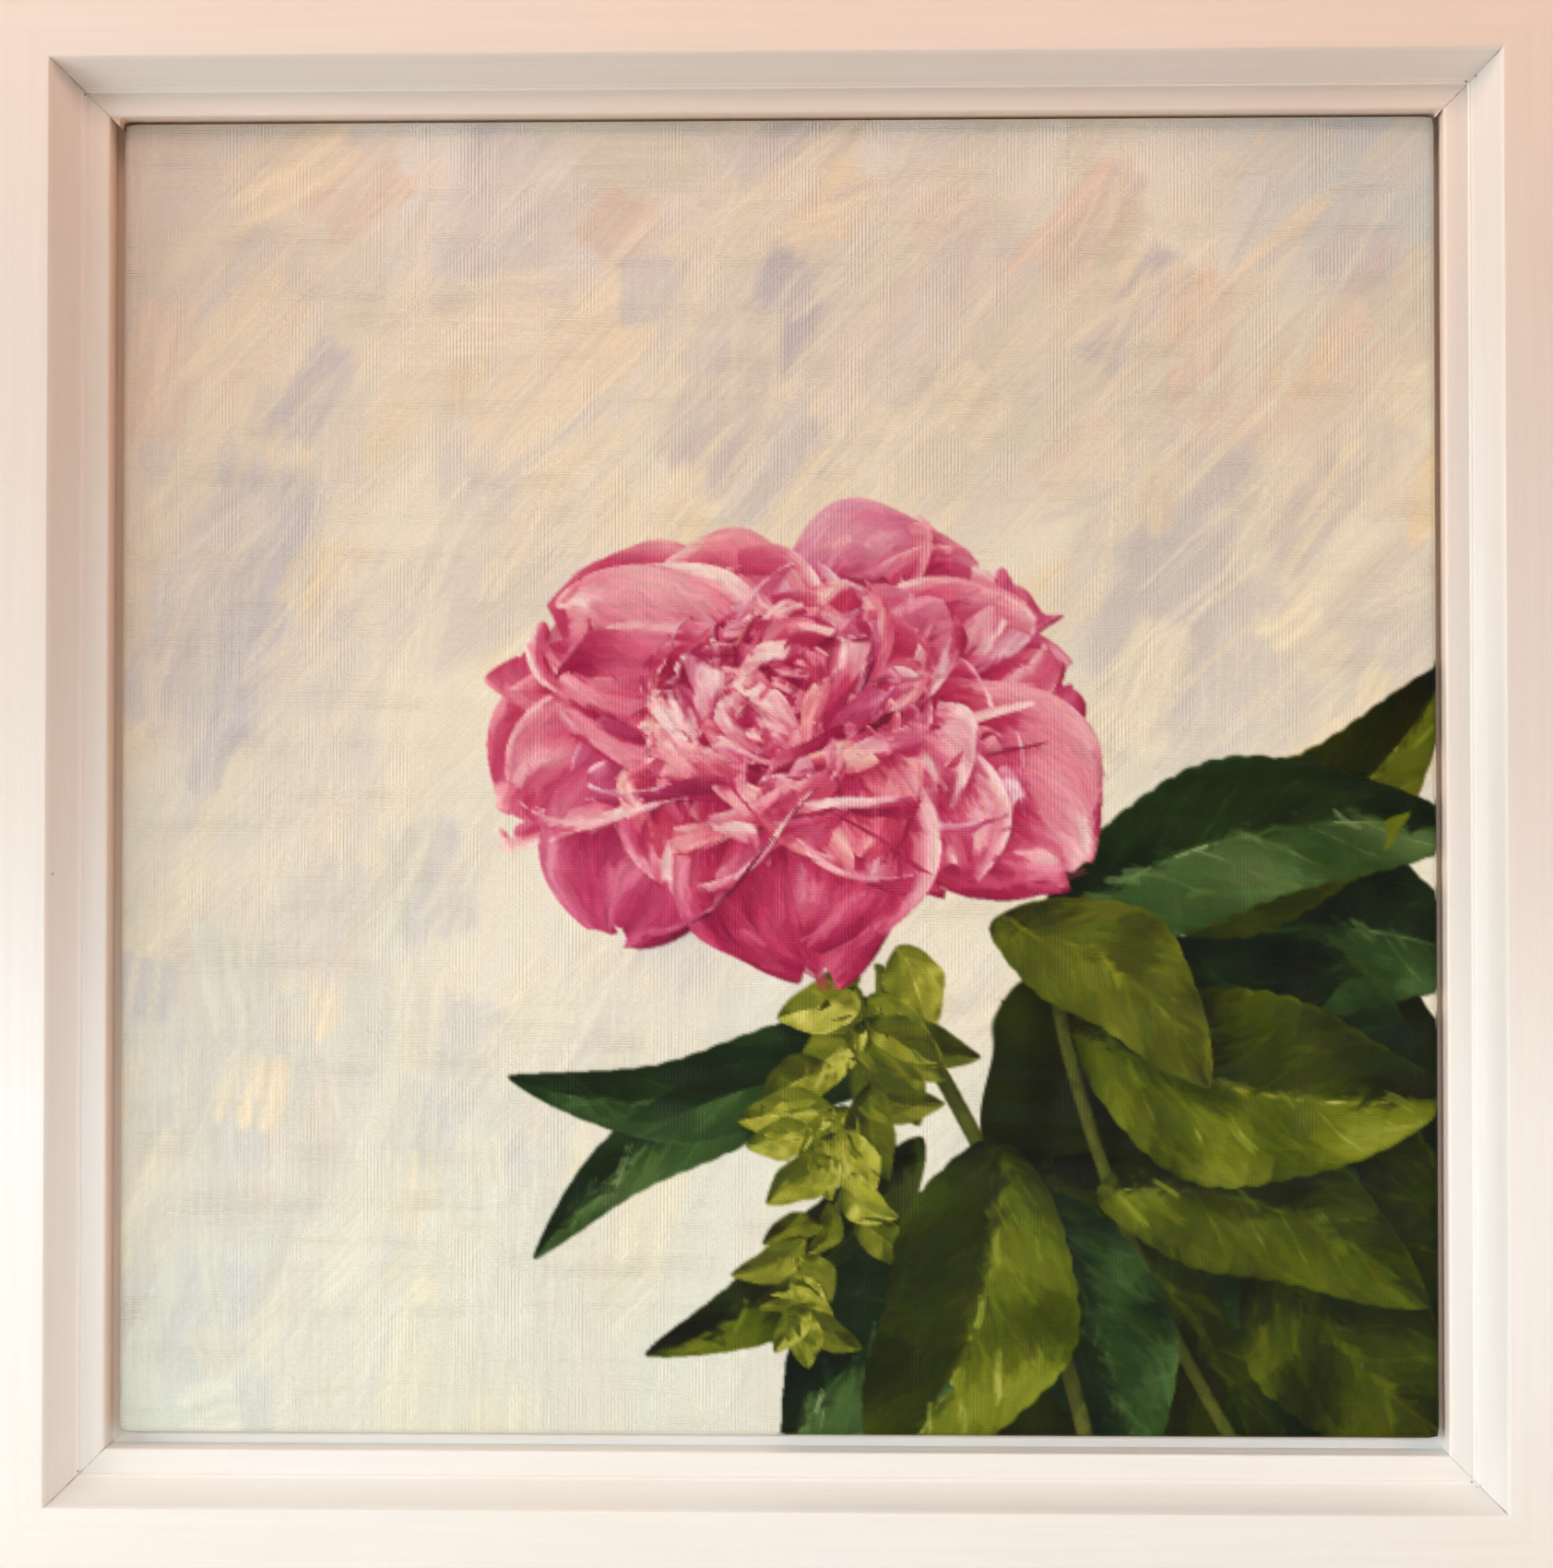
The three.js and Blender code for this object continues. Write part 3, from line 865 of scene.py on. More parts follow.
@dataclass(frozen=True)
class OilPaint:
    """Oil paint over woven canvas, with the marks of the brush in it.

    The colour is the mesh's own mark. So is the brush's heading, as the cosine and sine of twice
    its angle: hairs are drawn at four angles, and each shows where the heading is near its own.
    Hairs are counted in a metre along and across, the body is their relief's depth, and the gloss
    is the roughness of thin and of thick paint.
    """

    streak: float = 0.05
    hairs: tuple[float, float] = (42.0, 900.0)
    body: float = 0.00010
    gloss: tuple[float, float] = (0.5, 0.36)
    threads: Threads = Threads()

    def brushed(self, w: Wiring, spot: Socket) -> tuple[Socket, Socket]:
        """The hairs' tone and height, each the sum of four angles by their nearness.

        Args:
            w: the material's wiring.
            spot: the place on the canvas.

        Returns:
            The tone and the height.
        """
        double_cosine, double_sine, _ = w.parts(w.mark("heading").outputs["Vector"])
        tones, heights = [], []
        for turn, (share, sign) in enumerate(
            ((double_cosine, 1.0), (double_sine, 1.0), (double_cosine, -1.0), (double_sine, -1.0))
        ):
            level = {"Vector": spot, "Angle": -math.pi / 4 * turn}
            flow = w.node("VectorRotate", level, rotation_type="Z_AXIS").outputs[0]
            marks = w.group(
                GROUPS["bristles"], Flow=flow, Along=self.hairs[0], Across=self.hairs[1], Seed=turn * 3.0
            )
            near = w.math("MAXIMUM", w.times(share, sign), 0.0)
            for sums, key in ((tones, "Tone"), (heights, "Height")):
                sums.append(w.times(w.math("SUBTRACT", marks.outputs[key], 0.5), near))
        return w.total(*tones), w.total(*heights)

    def material(self) -> Material:
        """Streaked colour with the weave painted in as highlight and shade, stronger in dark paint, hair
        marks and an uneven gloss.

        Returns:
            The material.
        """
        finish = Finish("oil paint", Specular_IOR_Level=0.14)
        w = finish.wiring
        place = w.place()
        x, _, z = w.parts(place)
        spot = w.vector(x, z)
        weave = self.threads.height(w, x, z)
        tone, height = self.brushed(w, spot)
        fine = w.noise(spot, 900, 3)
        paint = w.mark("paint").outputs["Color"]
        # painted highlight and shade: the weave's height lightens and darkens the colour, more in dark paint
        deep = w.fall(w.parts(paint)[1], 0.02, 0.3)
        level = w.total(
            w.scaled(tone, 2 * self.streak, 1.0),
            w.times(weave, w.scaled(deep, 0.22, 0.05)),
            w.scaled(fine, 0.14, -0.07),
        )
        thick = w.rise(w.noise(spot, 120), 0.35, 0.65)
        thin, fat = self.gloss
        finish.vary(
            Base_Color=w.shade(paint, level),
            Roughness=w.scaled(thick, fat - thin, thin),
        )
        finish.relief((height, self.body), (weave, 0.00015), (w.noise(spot, 1100, 3), 0.00009))
        return finish.material


# ---------- shared shapes


def cad_box(node: str) -> tuple[Array, Array]:
    """A CAD node's lowest and highest corners, in metres."""
    low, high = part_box(node)
    return np.array(low), np.array(high)


def rounded(corners: list[tuple[float, float, float]], steps: int = 6) -> Array:
    """Rounds the corners of a closed outline with short quadratic curves.

    Each corner gives way to the curve that leaves one edge and joins the next at the
    radius times the tangent of half the turn from the corner.

    Args:
        corners: (x, y, radius) rows round the outline; a radius of 0 stays sharp.
        steps: spans in each rounded corner.

    Returns:
        The outline's points, two columns.
    """
    spots = np.array([corner[:2] for corner in corners])
    t = np.linspace(0, 1, steps + 1)[:, None]
    pieces = []
    for i, (x, y, radius) in enumerate(corners):
        here = np.array((x, y))
        back, ahead = spots[i - 1] - here, spots[(i + 1) % len(spots)] - here
        back, ahead = unit(back), unit(ahead)
        if radius == 0:
            pieces.append(here[None])
            continue
        reach = radius / math.tan(math.acos(np.clip(back @ ahead, -1, 1)) / 2)
        start, end = here + back * reach, here + ahead * reach
        pieces.append(start * (1 - t) ** 2 + here * 2 * t * (1 - t) + end * t**2)
    return np.concatenate(pieces)


def spaced(outline: Array, longest: float) -> Array:
    """Adds points to a closed outline until no span is longer than a limit.

    Args:
        outline: points round it, two columns.
        longest: the limit in metres.

    Returns:
        The outline with the new points.
    """
    following = np.roll(outline, -1, axis=0)
    counts = np.ceil(np.linalg.norm(following - outline, axis=1) / longest).astype(int)
    spans = [
        start + (end - start) * np.arange(count)[:, None] / count
        for start, end, count in zip(outline, following, np.maximum(counts, 1))
    ]
    return np.concatenate(spans)


def extruded(outline: Array, front: float, back: float) -> Surface:
    """Gives an (x, z) outline thickness along Y, from front to back."""
    x, z = outline.T
    return tube(np.stack([np.c_[x, np.full(len(outline), y), z] for y in (front, back)]))


def dress(piece: Piece, slot: str, *nodes: str) -> Piece:
    """Makes a piece ride on the part and hides the CAD nodes that it stands for.

    Args:
        piece: the finished piece.
        slot: the record's material slot; not used.
        nodes: the CAD nodes that it stands for, if any.

    Returns:
        The same piece.
    """
    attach(piece, ROOT)
    if nodes:
        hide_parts(*nodes)
    LOG.info("%s: %d faces", piece.name, len(piece.data.polygons))
    return piece


def baked(piece: Piece, crease: float = 40.0) -> None:
    """Puts a piece's modifiers into its mesh and sets its sharp edges again.

    Args:
        piece: what is finished.
        crease: edges that turn by more degrees than this stay sharp.
    """
    shape = bpy.data.meshes.new_from_object(piece.evaluated_get(bpy.context.evaluated_depsgraph_get()))
    piece.modifiers.clear()
    piece.data = shape
    shape.shade_smooth()
    shape.set_sharp_from_angle(angle=math.radians(crease))


def carved(piece: Piece, cutters: Surface) -> None:
    """Cuts closed shapes out of a piece.

    Args:
        piece: what is cut.
        cutters: the closed shapes.
    """
    tool = cutters.build("cutters")
    cut = piece.modifiers.new("cut", "BOOLEAN")
    cut.operation, cut.solver, cut.object = "DIFFERENCE", "EXACT", tool
    baked(piece)
    bpy.data.objects.remove(tool)


def mark_grain(piece: Piece, turns: int) -> None:
    """Marks each point's place along the grain, across it and through the wood.

    Args:
        piece: the piece, in its final shape.
        turns: quarter turns of its side from the top.
    """
    points = np.zeros(len(piece.data.vertices) * 3, np.float32)
    piece.data.vertices.foreach_get("co", points)
    local = turned(points.reshape(-1, 3), 4 - turns)
    mark = piece.data.attributes.new("grain", "FLOAT_VECTOR", "POINT")
    mark.data.foreach_set("vector", np.ascontiguousarray(local[:, (0, 2, 1)], np.float32).ravel())


def eased_copy(node: str, name: str, edge: float, finish: Material, turns: int) -> Piece:
    """Copies a CAD node's mesh, eases its edges and marks the grain along its side.

    Args:
        node: the CAD node.
        name: the new piece's name.
        edge: the eased edge's width in metres.
        finish: its material.
        turns: quarter turns of its side from the top, which set the way of the grain.

    Returns:
        The new piece.
    """
    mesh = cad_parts[node].data.copy()
    piece = bpy.data.objects.new(name, mesh)
    bpy.context.scene.collection.objects.link(piece)
    mesh.materials.clear()
    mesh.materials.append(finish)
    weld = piece.modifiers.new("weld", "WELD")
    weld.merge_threshold = 0.00001
    bevel = piece.modifiers.new("ease", "BEVEL")
    bevel.width, bevel.segments, bevel.limit_method = edge, 2, "ANGLE"
    bevel.angle_limit = math.radians(30)
    baked(piece, 50.0)
    mark_grain(piece, turns)
    return piece


# ---------- the frame


@dataclass
class FloatFrame:
    """Four mitred rails round a well, and the nails pressed into their corners.

    Distances run from the frame's centre outwards, and depths back from its front.
    """

    arris: float = 166.0 * MM
    cove: float = 160.3 * MM
    cove_depth: float = 8.4 * MM
    hollow: float = 0.9 * MM
    bead: float = 0.24 * MM
    step_depth: float = 9.2 * MM
    well: float = 154.2 * MM
    lip: float = 1.0 * MM
    shelf_depth: float = 17.7 * MM
    shelf_gap: float = 0.3 * MM
    ledge: float = 138.0 * MM
    ledge_thickness: float = 5.0 * MM
    stations: int = 90
    screw_spot: float = 75.0 * MM
    screw_line: float = 146.0 * MM
    screw_hole: float = 3.5 * MM
    nail_spots: tuple[float, float] = (168.0 * MM, 184.0 * MM)
    nail_reach: tuple[float, float] = (5.0 * MM, 3.5 * MM)
    nail_half: float = 0.25 * MM
    nail_slot: tuple[float, float] = (0.08 * MM, 0.9 * MM)

    def __post_init__(self) -> None:
        """Reads the frame's outer sizes from the fixed model."""
        low, high = cad_box("frame_rail_top")
        bottom, _ = cad_box("frame_rail_bottom")
        self.front, self.back = low[1], high[1]
        self.middle = (bottom[2] + high[2]) / 2
        self.half = high[2] - self.middle
        cloth_low, cloth_high = cad_box("canvas")
        self.canvas_edges = (
            cloth_high[2] - self.middle, cloth_high[0], self.middle - cloth_low[2], -cloth_low[0]
        )

    def section(self, canvas_edge: float) -> Array:
        """The rail's outline: face, cove, bead, step, lip, well, shelf and ledge.

        The cove falls straight from the arris to its foot, hollowed by a parabola. The bead is a
        half round that stands forward of the step.

        Args:
            canvas_edge: how far out the canvas comes on this side.

        Returns:
            (out, y) points.
        """
        front, back = self.front, self.back
        t = np.linspace(0, 1, 9)[:, None]
        top = np.array((self.arris, front))
        foot = np.array((self.cove, front + self.cove_depth))
        fall = unit(foot - top)
        into = np.array((fall[1], -fall[0])) * self.hollow * 4
        into *= 1.0 if into[1] > 0 else -1.0
        cove = top + (foot - top) * t + into * t * (1 - t)
        step = front + self.step_depth
        t = np.linspace(0, 1, 7)[1:, None]
        end = np.array((self.cove - 2.6 * self.bead, step))
        over = np.array((0.0, -self.bead * 1.1))
        bead = foot + (end - foot) * t + over * 4 * t * (1 - t)
        corners = [
            (self.half, back, 0.4 * MM),
            (self.half, front, 1.5 * MM),
            (self.arris, front, 0.5 * MM),
            *[(x, y, 0.0) for x, y in cove[1:]],
            *[(x, y, 0.0) for x, y in bead],
            (self.well, step, self.lip),
            (self.well, front + self.shelf_depth, 0.15 * MM),
            (canvas_edge + self.shelf_gap, front + self.shelf_depth, 0.1 * MM),
            (canvas_edge + self.shelf_gap, back - self.ledge_thickness, 0.1 * MM),
            (self.ledge, back - self.ledge_thickness, 0.4 * MM),
            (self.ledge, back, 0.4 * MM),
        ]
        return spaced(rounded(corners), 2.5 * MM)

    def rail_surface(self, turns: int, rng: Random) -> Surface:
        """The top rail: the section carried between two mitres.

        A point's place along is its distance out times the station from -1 to 1, less a joint gap
        that is nothing on the filled front and a hair's breadth in the well. Where the canvas
        reaches less far on the next side, the shelf's end comes in to that side's edge over the
        station. Slow waves keep the paint from lying dead flat.

        Args:
            turns: which rail, in quarter turns from the top one.
            rng: the source of its small waves.

        Returns:
            The rail, with its flow along and round it.
        """
        edges = self.canvas_edges
        outline = self.section(edges[turns])
        out, y = outline.T
        turn = np.linspace(-math.pi / 2, math.pi / 2, self.stations)
        station = np.sin(turn)
        shelf = np.abs(out - edges[turns] - self.shelf_gap) < 0.3 * MM
        beside = np.where(station > 0, edges[(turns + 1) % 4], edges[turns - 1]) + self.shelf_gap
        reach = beside / np.maximum(np.abs(station), 0.5)
        out = np.where(shelf, np.minimum(out, reach[:, None]), out)
        open_joint = smoothstep(self.front + 0.2 * MM, self.front + 1.2 * MM, y)
        gap = open_joint * np.clip(0.03 + 0.02 * wavy(outline, rng, 4 * MM), 0.012, 0.06) * MM
        along = station[:, None] * (out - gap)
        points = np.stack([along, np.broadcast_to(y, along.shape), out], axis=-1)
        swell = wavy(points.reshape(-1, 3), rng, 70 * MM).reshape(along.shape) * 0.03 * MM
        swell *= 1 - np.abs(station[:, None]) ** 12
        points[..., 1] += swell
        length = np.concatenate([[0], np.cumsum(np.linalg.norm(np.diff(outline, axis=0), axis=1))])
        flow = np.stack([along, np.broadcast_to(length, along.shape)], axis=-1)
        return tube(points, flow.reshape(-1, 2))

    def nail_surface(self, spot: float, grow: float, front: float, back: float) -> Surface:
        """A corner nail at the top right mitre: a bent strip, seen from the back as a V.

        For t from -1 to 1 its middle line runs out along the mitre by the root of t squared plus a
        little, and across it by t, each times its own reach.

        Args:
            spot: the V's corner, across and up from the frame's centre.
            grow: how far each side stands off, for a slot.
            front: its first y.
            back: its last y.

        Returns:
            A closed surface.
        """
        arm, spread = self.nail_reach
        end = 1 + grow / arm
        t = np.linspace(-end, end, 17)
        line = np.c_[arm * np.sqrt(t**2 + 0.01), spread * t]
        heading = unit(np.gradient(line, axis=0))
        side = np.c_[-heading[:, 1], heading[:, 0]] * (self.nail_half + grow)
        outline = np.concatenate([line + side, (line - side)[::-1]])
        across = np.c_[outline[:, 0] - outline[:, 1], outline.sum(axis=1)] * math.sqrt(0.5)
        return extruded(across + spot, front, back)

    def cutters(self) -> Surface:
        """What is cut from every rail: oversize screw holes and the corner nails' slots.

        Returns:
            Closed shapes for the top rail.
        """
        parts = []
        profile = np.array([(0, -1), (1, -1), (1, 1), (0, 1)], float)
        low, high = self.back - self.ledge_thickness - MM, self.back + MM
        heights = (low + high) / 2 + profile[:, 1] * (high - low) / 2
        hole = np.c_[profile[:, 0] * self.screw_hole, heights]
        for side in (-1, 1):
            centre = np.array((side * self.screw_spot, 0, self.screw_line))
            parts.append(revolved(hole, centre, 32))
        play, deep = self.nail_slot
        for spot in self.nail_spots:
            slot = self.nail_surface(spot, play, self.back - deep, self.back + MM)
            parts.append(slot)
            parts.append(Surface(turned(slot.points, 3), slot.quads, slot.caps))
        return Surface.joined(parts)

    def build(self, paint: Material, steel: Material) -> None:
        """Makes the rails and the corner nails.

        Args:
            paint: the rails' finish.
            steel: the nails' finish.
        """
        lift = np.array((0, 0, self.middle))
        for turns, side in enumerate(SIDES):
            rng = np.random.default_rng(40 + turns)
            rail = self.rail_surface(turns, rng)
            rail.points = turned(rail.points, turns) + lift
            piece = rail.build(f"painted_rail_{side}", paint)
            cutters = self.cutters()
            cutters.points = turned(cutters.points, turns) + lift
            carved(piece, cutters)
            mark_grain(piece, turns)
            dress(piece, "white_painted_wood", f"frame_rail_{side}")
            for spot, label in zip(self.nail_spots, ("inner", "outer")):
                name = f"corner_nail_{CORNERS[turns]}_{label}"
                low, high = cad_box(name)
                nail = self.nail_surface(spot, 0.0, low[1], high[1])
                nail.points = turned(nail.points, turns) + lift
                dress(nail.build(f"v_nail_{CORNERS[turns]}_{label}", steel), "nail_steel", name)


# ---------- the stretched canvas


@dataclass
class Wrap:
    """How cloth lies over the bars: flat in front, round an edge, down a side and under.

    A place on the cloth is measured from the picture's centre along the cloth itself.
    """

    half: float
    depth: float
    centre: tuple[float, float]
    face: float
    edge: float = 1.2 * MM

    def __post_init__(self) -> None:
        """Works out the ring that the cloth has reached, and its depth, for each distance."""
        flat = self.half - self.edge
        bend = np.radians(np.linspace(0, 90, 9))
        rings = [
            np.array((0.0, flat)),
            flat + self.edge * np.sin(bend[1:]),
            flat + self.edge * np.cos(bend),
            np.array((0.0,)),
        ]
        depths = [
            np.array((0.0, 0.0)),
            self.edge * (1 - np.cos(bend[1:])),
            self.depth - self.edge + self.edge * np.sin(bend),
            np.array((self.depth,)),
        ]
        self.ring, self.deep = np.concatenate(rings), np.concatenate(depths)
        steps = np.hypot(np.diff(self.ring), np.diff(self.deep))
        self.run = np.concatenate([[0.0], np.cumsum(steps)])

    def at(self, distance: Array) -> tuple[Array, Array]:
        """The ring's half size and the depth at a distance from the centre."""
        return np.interp(distance, self.run, self.ring), np.interp(distance, self.run, self.deep)

    def with_round_corners(self, plan: Array, ring: Array) -> Array:
        """Pulls a square ring's corners in to circles, in plan.

        Args:
            plan: (across, up) places.
            ring: the half size of the square ring that each lies on.

        Returns:
            The places moved in.
        """
        beyond = np.maximum(np.abs(plan) - (ring[..., None] - self.edge), 0)
        longer = np.maximum(np.hypot(beyond[..., 0], beyond[..., 1]), 1e-9)
        pull = np.where(beyond.min(axis=-1) > 0, beyond.max(axis=-1) / longer, 1.0)
        return np.sign(plan) * (np.abs(plan) - beyond * (1 - pull[..., None]))

    def lay(self, places: Array, lift: Array) -> Array:
        """Lays a picture's points on the canvas, standing off it by lift.

        The lift is square to the cloth: forward in front, and turning outward round an edge.

        Args:
            places: (across, up) along the cloth from its centre.
            lift: metres off the cloth.

        Returns:
            Points in the row's frame.
        """
        ring, deep = self.at(np.abs(places))
        plan = self.with_round_corners(np.sign(places) * ring, ring.max(axis=-1))
        bend = np.clip((np.abs(places) - self.half + self.edge) / self.edge, 0, math.pi / 2)
        tip = np.sign(places) * np.sin(bend)
        forward = np.sqrt((1 - tip[..., 0] ** 2) * (1 - tip[..., 1] ** 2))
        off = np.stack([tip[..., 0], -forward, tip[..., 1]], axis=-1)
        off *= (lift / np.linalg.norm(off, axis=-1))[..., None]
        flat = np.stack([plan[..., 0], deep.max(axis=-1), plan[..., 1]], axis=-1)
        return flat + off + np.array((self.centre[0], self.face, self.centre[1]))

    def sheet(self, cells: int, runs: Array) -> Surface:
        """A sheet over the front, continued round the edge in rings.

        Each ring past the front's plain grid has the same points round it, so that cloth at the
        corners is drawn together as in a fold.

        Args:
            cells: cells across the front.
            runs: distances from the centre of the rings past the front, in rising order.

        Returns:
            The surface, whose flow is each point's place along the cloth from its centre.
        """
        line = np.linspace(-1, 1, cells + 1)
        square = np.stack(np.meshgrid(line, line, indexing="ij"), axis=-1).reshape(-1, 2)
        rim = grid_rim(cells + 1, cells + 1)
        count = len(rim)
        flat = self.half - self.edge
        sizes, depths = self.at(runs)
        ring = np.concatenate([np.full(len(square), flat), np.repeat(sizes, count)])
        deep = np.concatenate([np.zeros(len(square)), np.repeat(depths, count)])
        ways = np.concatenate([square, np.tile(square[rim], (len(runs), 1))])
        cloth = np.concatenate([square * flat, ways[len(square) :] * np.repeat(runs, count)[:, None]])
        plan = self.with_round_corners(ways * ring[:, None], ring)
        points = np.c_[plan[:, 0] + self.centre[0], self.face + deep, plan[:, 1] + self.centre[1]]
        loops = [rim, *(len(square) + np.arange(len(runs) * count).reshape(-1, count))]
        quads = [grid_quads(cells + 1, cells + 1)[:, ::-1]]
        for inner, outer in zip(loops, loops[1:]):
            quads.append(np.stack([inner, np.roll(inner, -1), np.roll(outer, -1), outer], axis=-1))
        return Surface(points, np.concatenate(quads), [], cloth)


# ---------- painting by hand


def blurred(field_values: Array, size: float) -> Array:
    """Softens a field with a bell curve, by way of its waves.

    Args:
        field_values: rows by columns, with or without a last axis of channels.
        size: the bell's standard deviation, in cells.

    Returns:
        An array of the same shape.
    """
    border = int(3 * size) + 2
    edges = ((border, border), (border, border)) + ((0, 0),) * (field_values.ndim - 2)
    wide = np.pad(field_values, edges, mode="edge")
    for axis in (0, 1):
        rates = np.fft.rfftfreq(wide.shape[axis])
        fall = np.exp(-2 * (math.pi * size * rates) ** 2)
        fall = fall.reshape([-1 if i == axis else 1 for i in range(wide.ndim)])
        wide = np.fft.irfft(np.fft.rfft(wide, axis=axis) * fall, wide.shape[axis], axis=axis)
    return wide[border:-border, border:-border]


@dataclass
class Easel:
    """The picture as cells: the first axis runs across to the right, the second upwards.

    Half is half the painted width, and the seed starts every movement of the hand.
    """

    half: float
    cells: int
    seed: int = 7

    def __post_init__(self) -> None:
        """Starts with a bare picture."""
        line = (np.arange(self.cells) + 0.5) / self.cells * 2 - 1
        self.line = line * self.half
        self.pitch = 2 * self.half / self.cells
        self.colour = np.ones((self.cells, self.cells, 3))
        self.height = np.zeros((self.cells, self.cells))
        self.heading = np.zeros((self.cells, self.cells, 2))
        self.rng = np.random.default_rng(self.seed)

    def cell(self, spots: Array) -> tuple[Array, Array]:
        """The cells that hold some places."""
        number = np.clip(((spots + self.half) / self.pitch).astype(int), 0, self.cells - 1)
        return number[..., 0], number[..., 1]

    def stroke(
        self,
        spot: Array,
        lean: float,
        size: tuple[float, float],
        colour: Array,
        load: float = 0.85,
        body: float = 0.1,
        bend: float = 0.0,
        within: tuple[Array, int] | None = None,
    ) -> None:
        """Draws one brush stroke.

        Its cover is a soft box, streaked by a row of random bristle lanes that fade out along the
        way at different rates. Paint piles up a little along both edges and at the end.

        Args:
            spot: the stroke's middle.
            lean: its angle from across, in radians.
            size: its length and width.
            colour: display colour from 0 to 1.
            load: how much paint the brush carries, from 0 to 1.
            body: the paint's thickness in millimetres.
            bend: how far its middle bows out, as a share of its length.
            within: the cells' owners and the one that it may cover, or None for all.
        """
        length, width = size
        reach = np.hypot(length, width) / 2 + self.pitch
        low = np.clip(((spot - reach + self.half) / self.pitch).astype(int), 0, self.cells)
        high = np.clip(((spot + reach + self.half) / self.pitch).astype(int) + 1, 0, self.cells)
        if (high <= low).any():
            return
        box = (slice(low[0], high[0]), slice(low[1], high[1]))
        x = self.line[box[0]][:, None] - spot[0]
        z = self.line[box[1]][None] - spot[1]
        along = (x * math.cos(lean) + z * math.sin(lean)) / length * 2
        across = (z * math.cos(lean) - x * math.sin(lean)) / width * 2
        across = across + bend * length / width * 2 * (along**2 - 0.33)
        lanes = self.rng.random(24)
        lanes = (lanes + np.roll(lanes, 1)) / 2
        lane = np.interp(across, np.linspace(-1, 1, 24), lanes)
        reached = 1 - smoothstep(0.55 + 0.45 * lane, 0.8 + 0.45 * lane, np.abs(along) + 0.12 * along)
        edge = 1 - smoothstep(0.72, 1.0, np.abs(across) + 0.15 * (lane - 0.5))
        cover = edge * reached * np.clip(load * (0.55 + 0.9 * lane), 0, 1)
        if within is not None:
            cover = cover * (within[0][box] == within[1])
        ridge = 0.35 + 0.9 * (lane - 0.5) + 0.5 * smoothstep(0.5, 0.9, np.abs(across))
        tone = 1 + 0.10 * (lane - 0.5)
        share = cover[..., None]
        self.colour[box] += (colour * tone[..., None] - self.colour[box]) * share
        self.height[box] += (body * ridge - self.height[box] * 0.55) * cover
        self.heading[box] += (np.array((math.cos(2 * lean), math.sin(2 * lean))) - self.heading[box]) * share

    def doubled(self) -> Easel:
        """The same picture with cells half the size.

        Returns:
            A new easel.
        """
        finer = Easel(self.half, self.cells * 2, self.seed + 1)
        for name in ("colour", "height", "heading"):
            wide = getattr(self, name).repeat(2, axis=0).repeat(2, axis=1)
            setattr(finer, name, blurred(wide, 0.8))
        return finer

    def halved(self) -> tuple[Array, Array, Array]:
        """Colour, height and heading averaged over two by two cells.

        Returns:
            The three fields.
        """
        return tuple(
            (v[::2, ::2] + v[1::2, ::2] + v[::2, 1::2] + v[1::2, 1::2]) / 4
            for v in (self.colour, self.height, self.heading)
        )


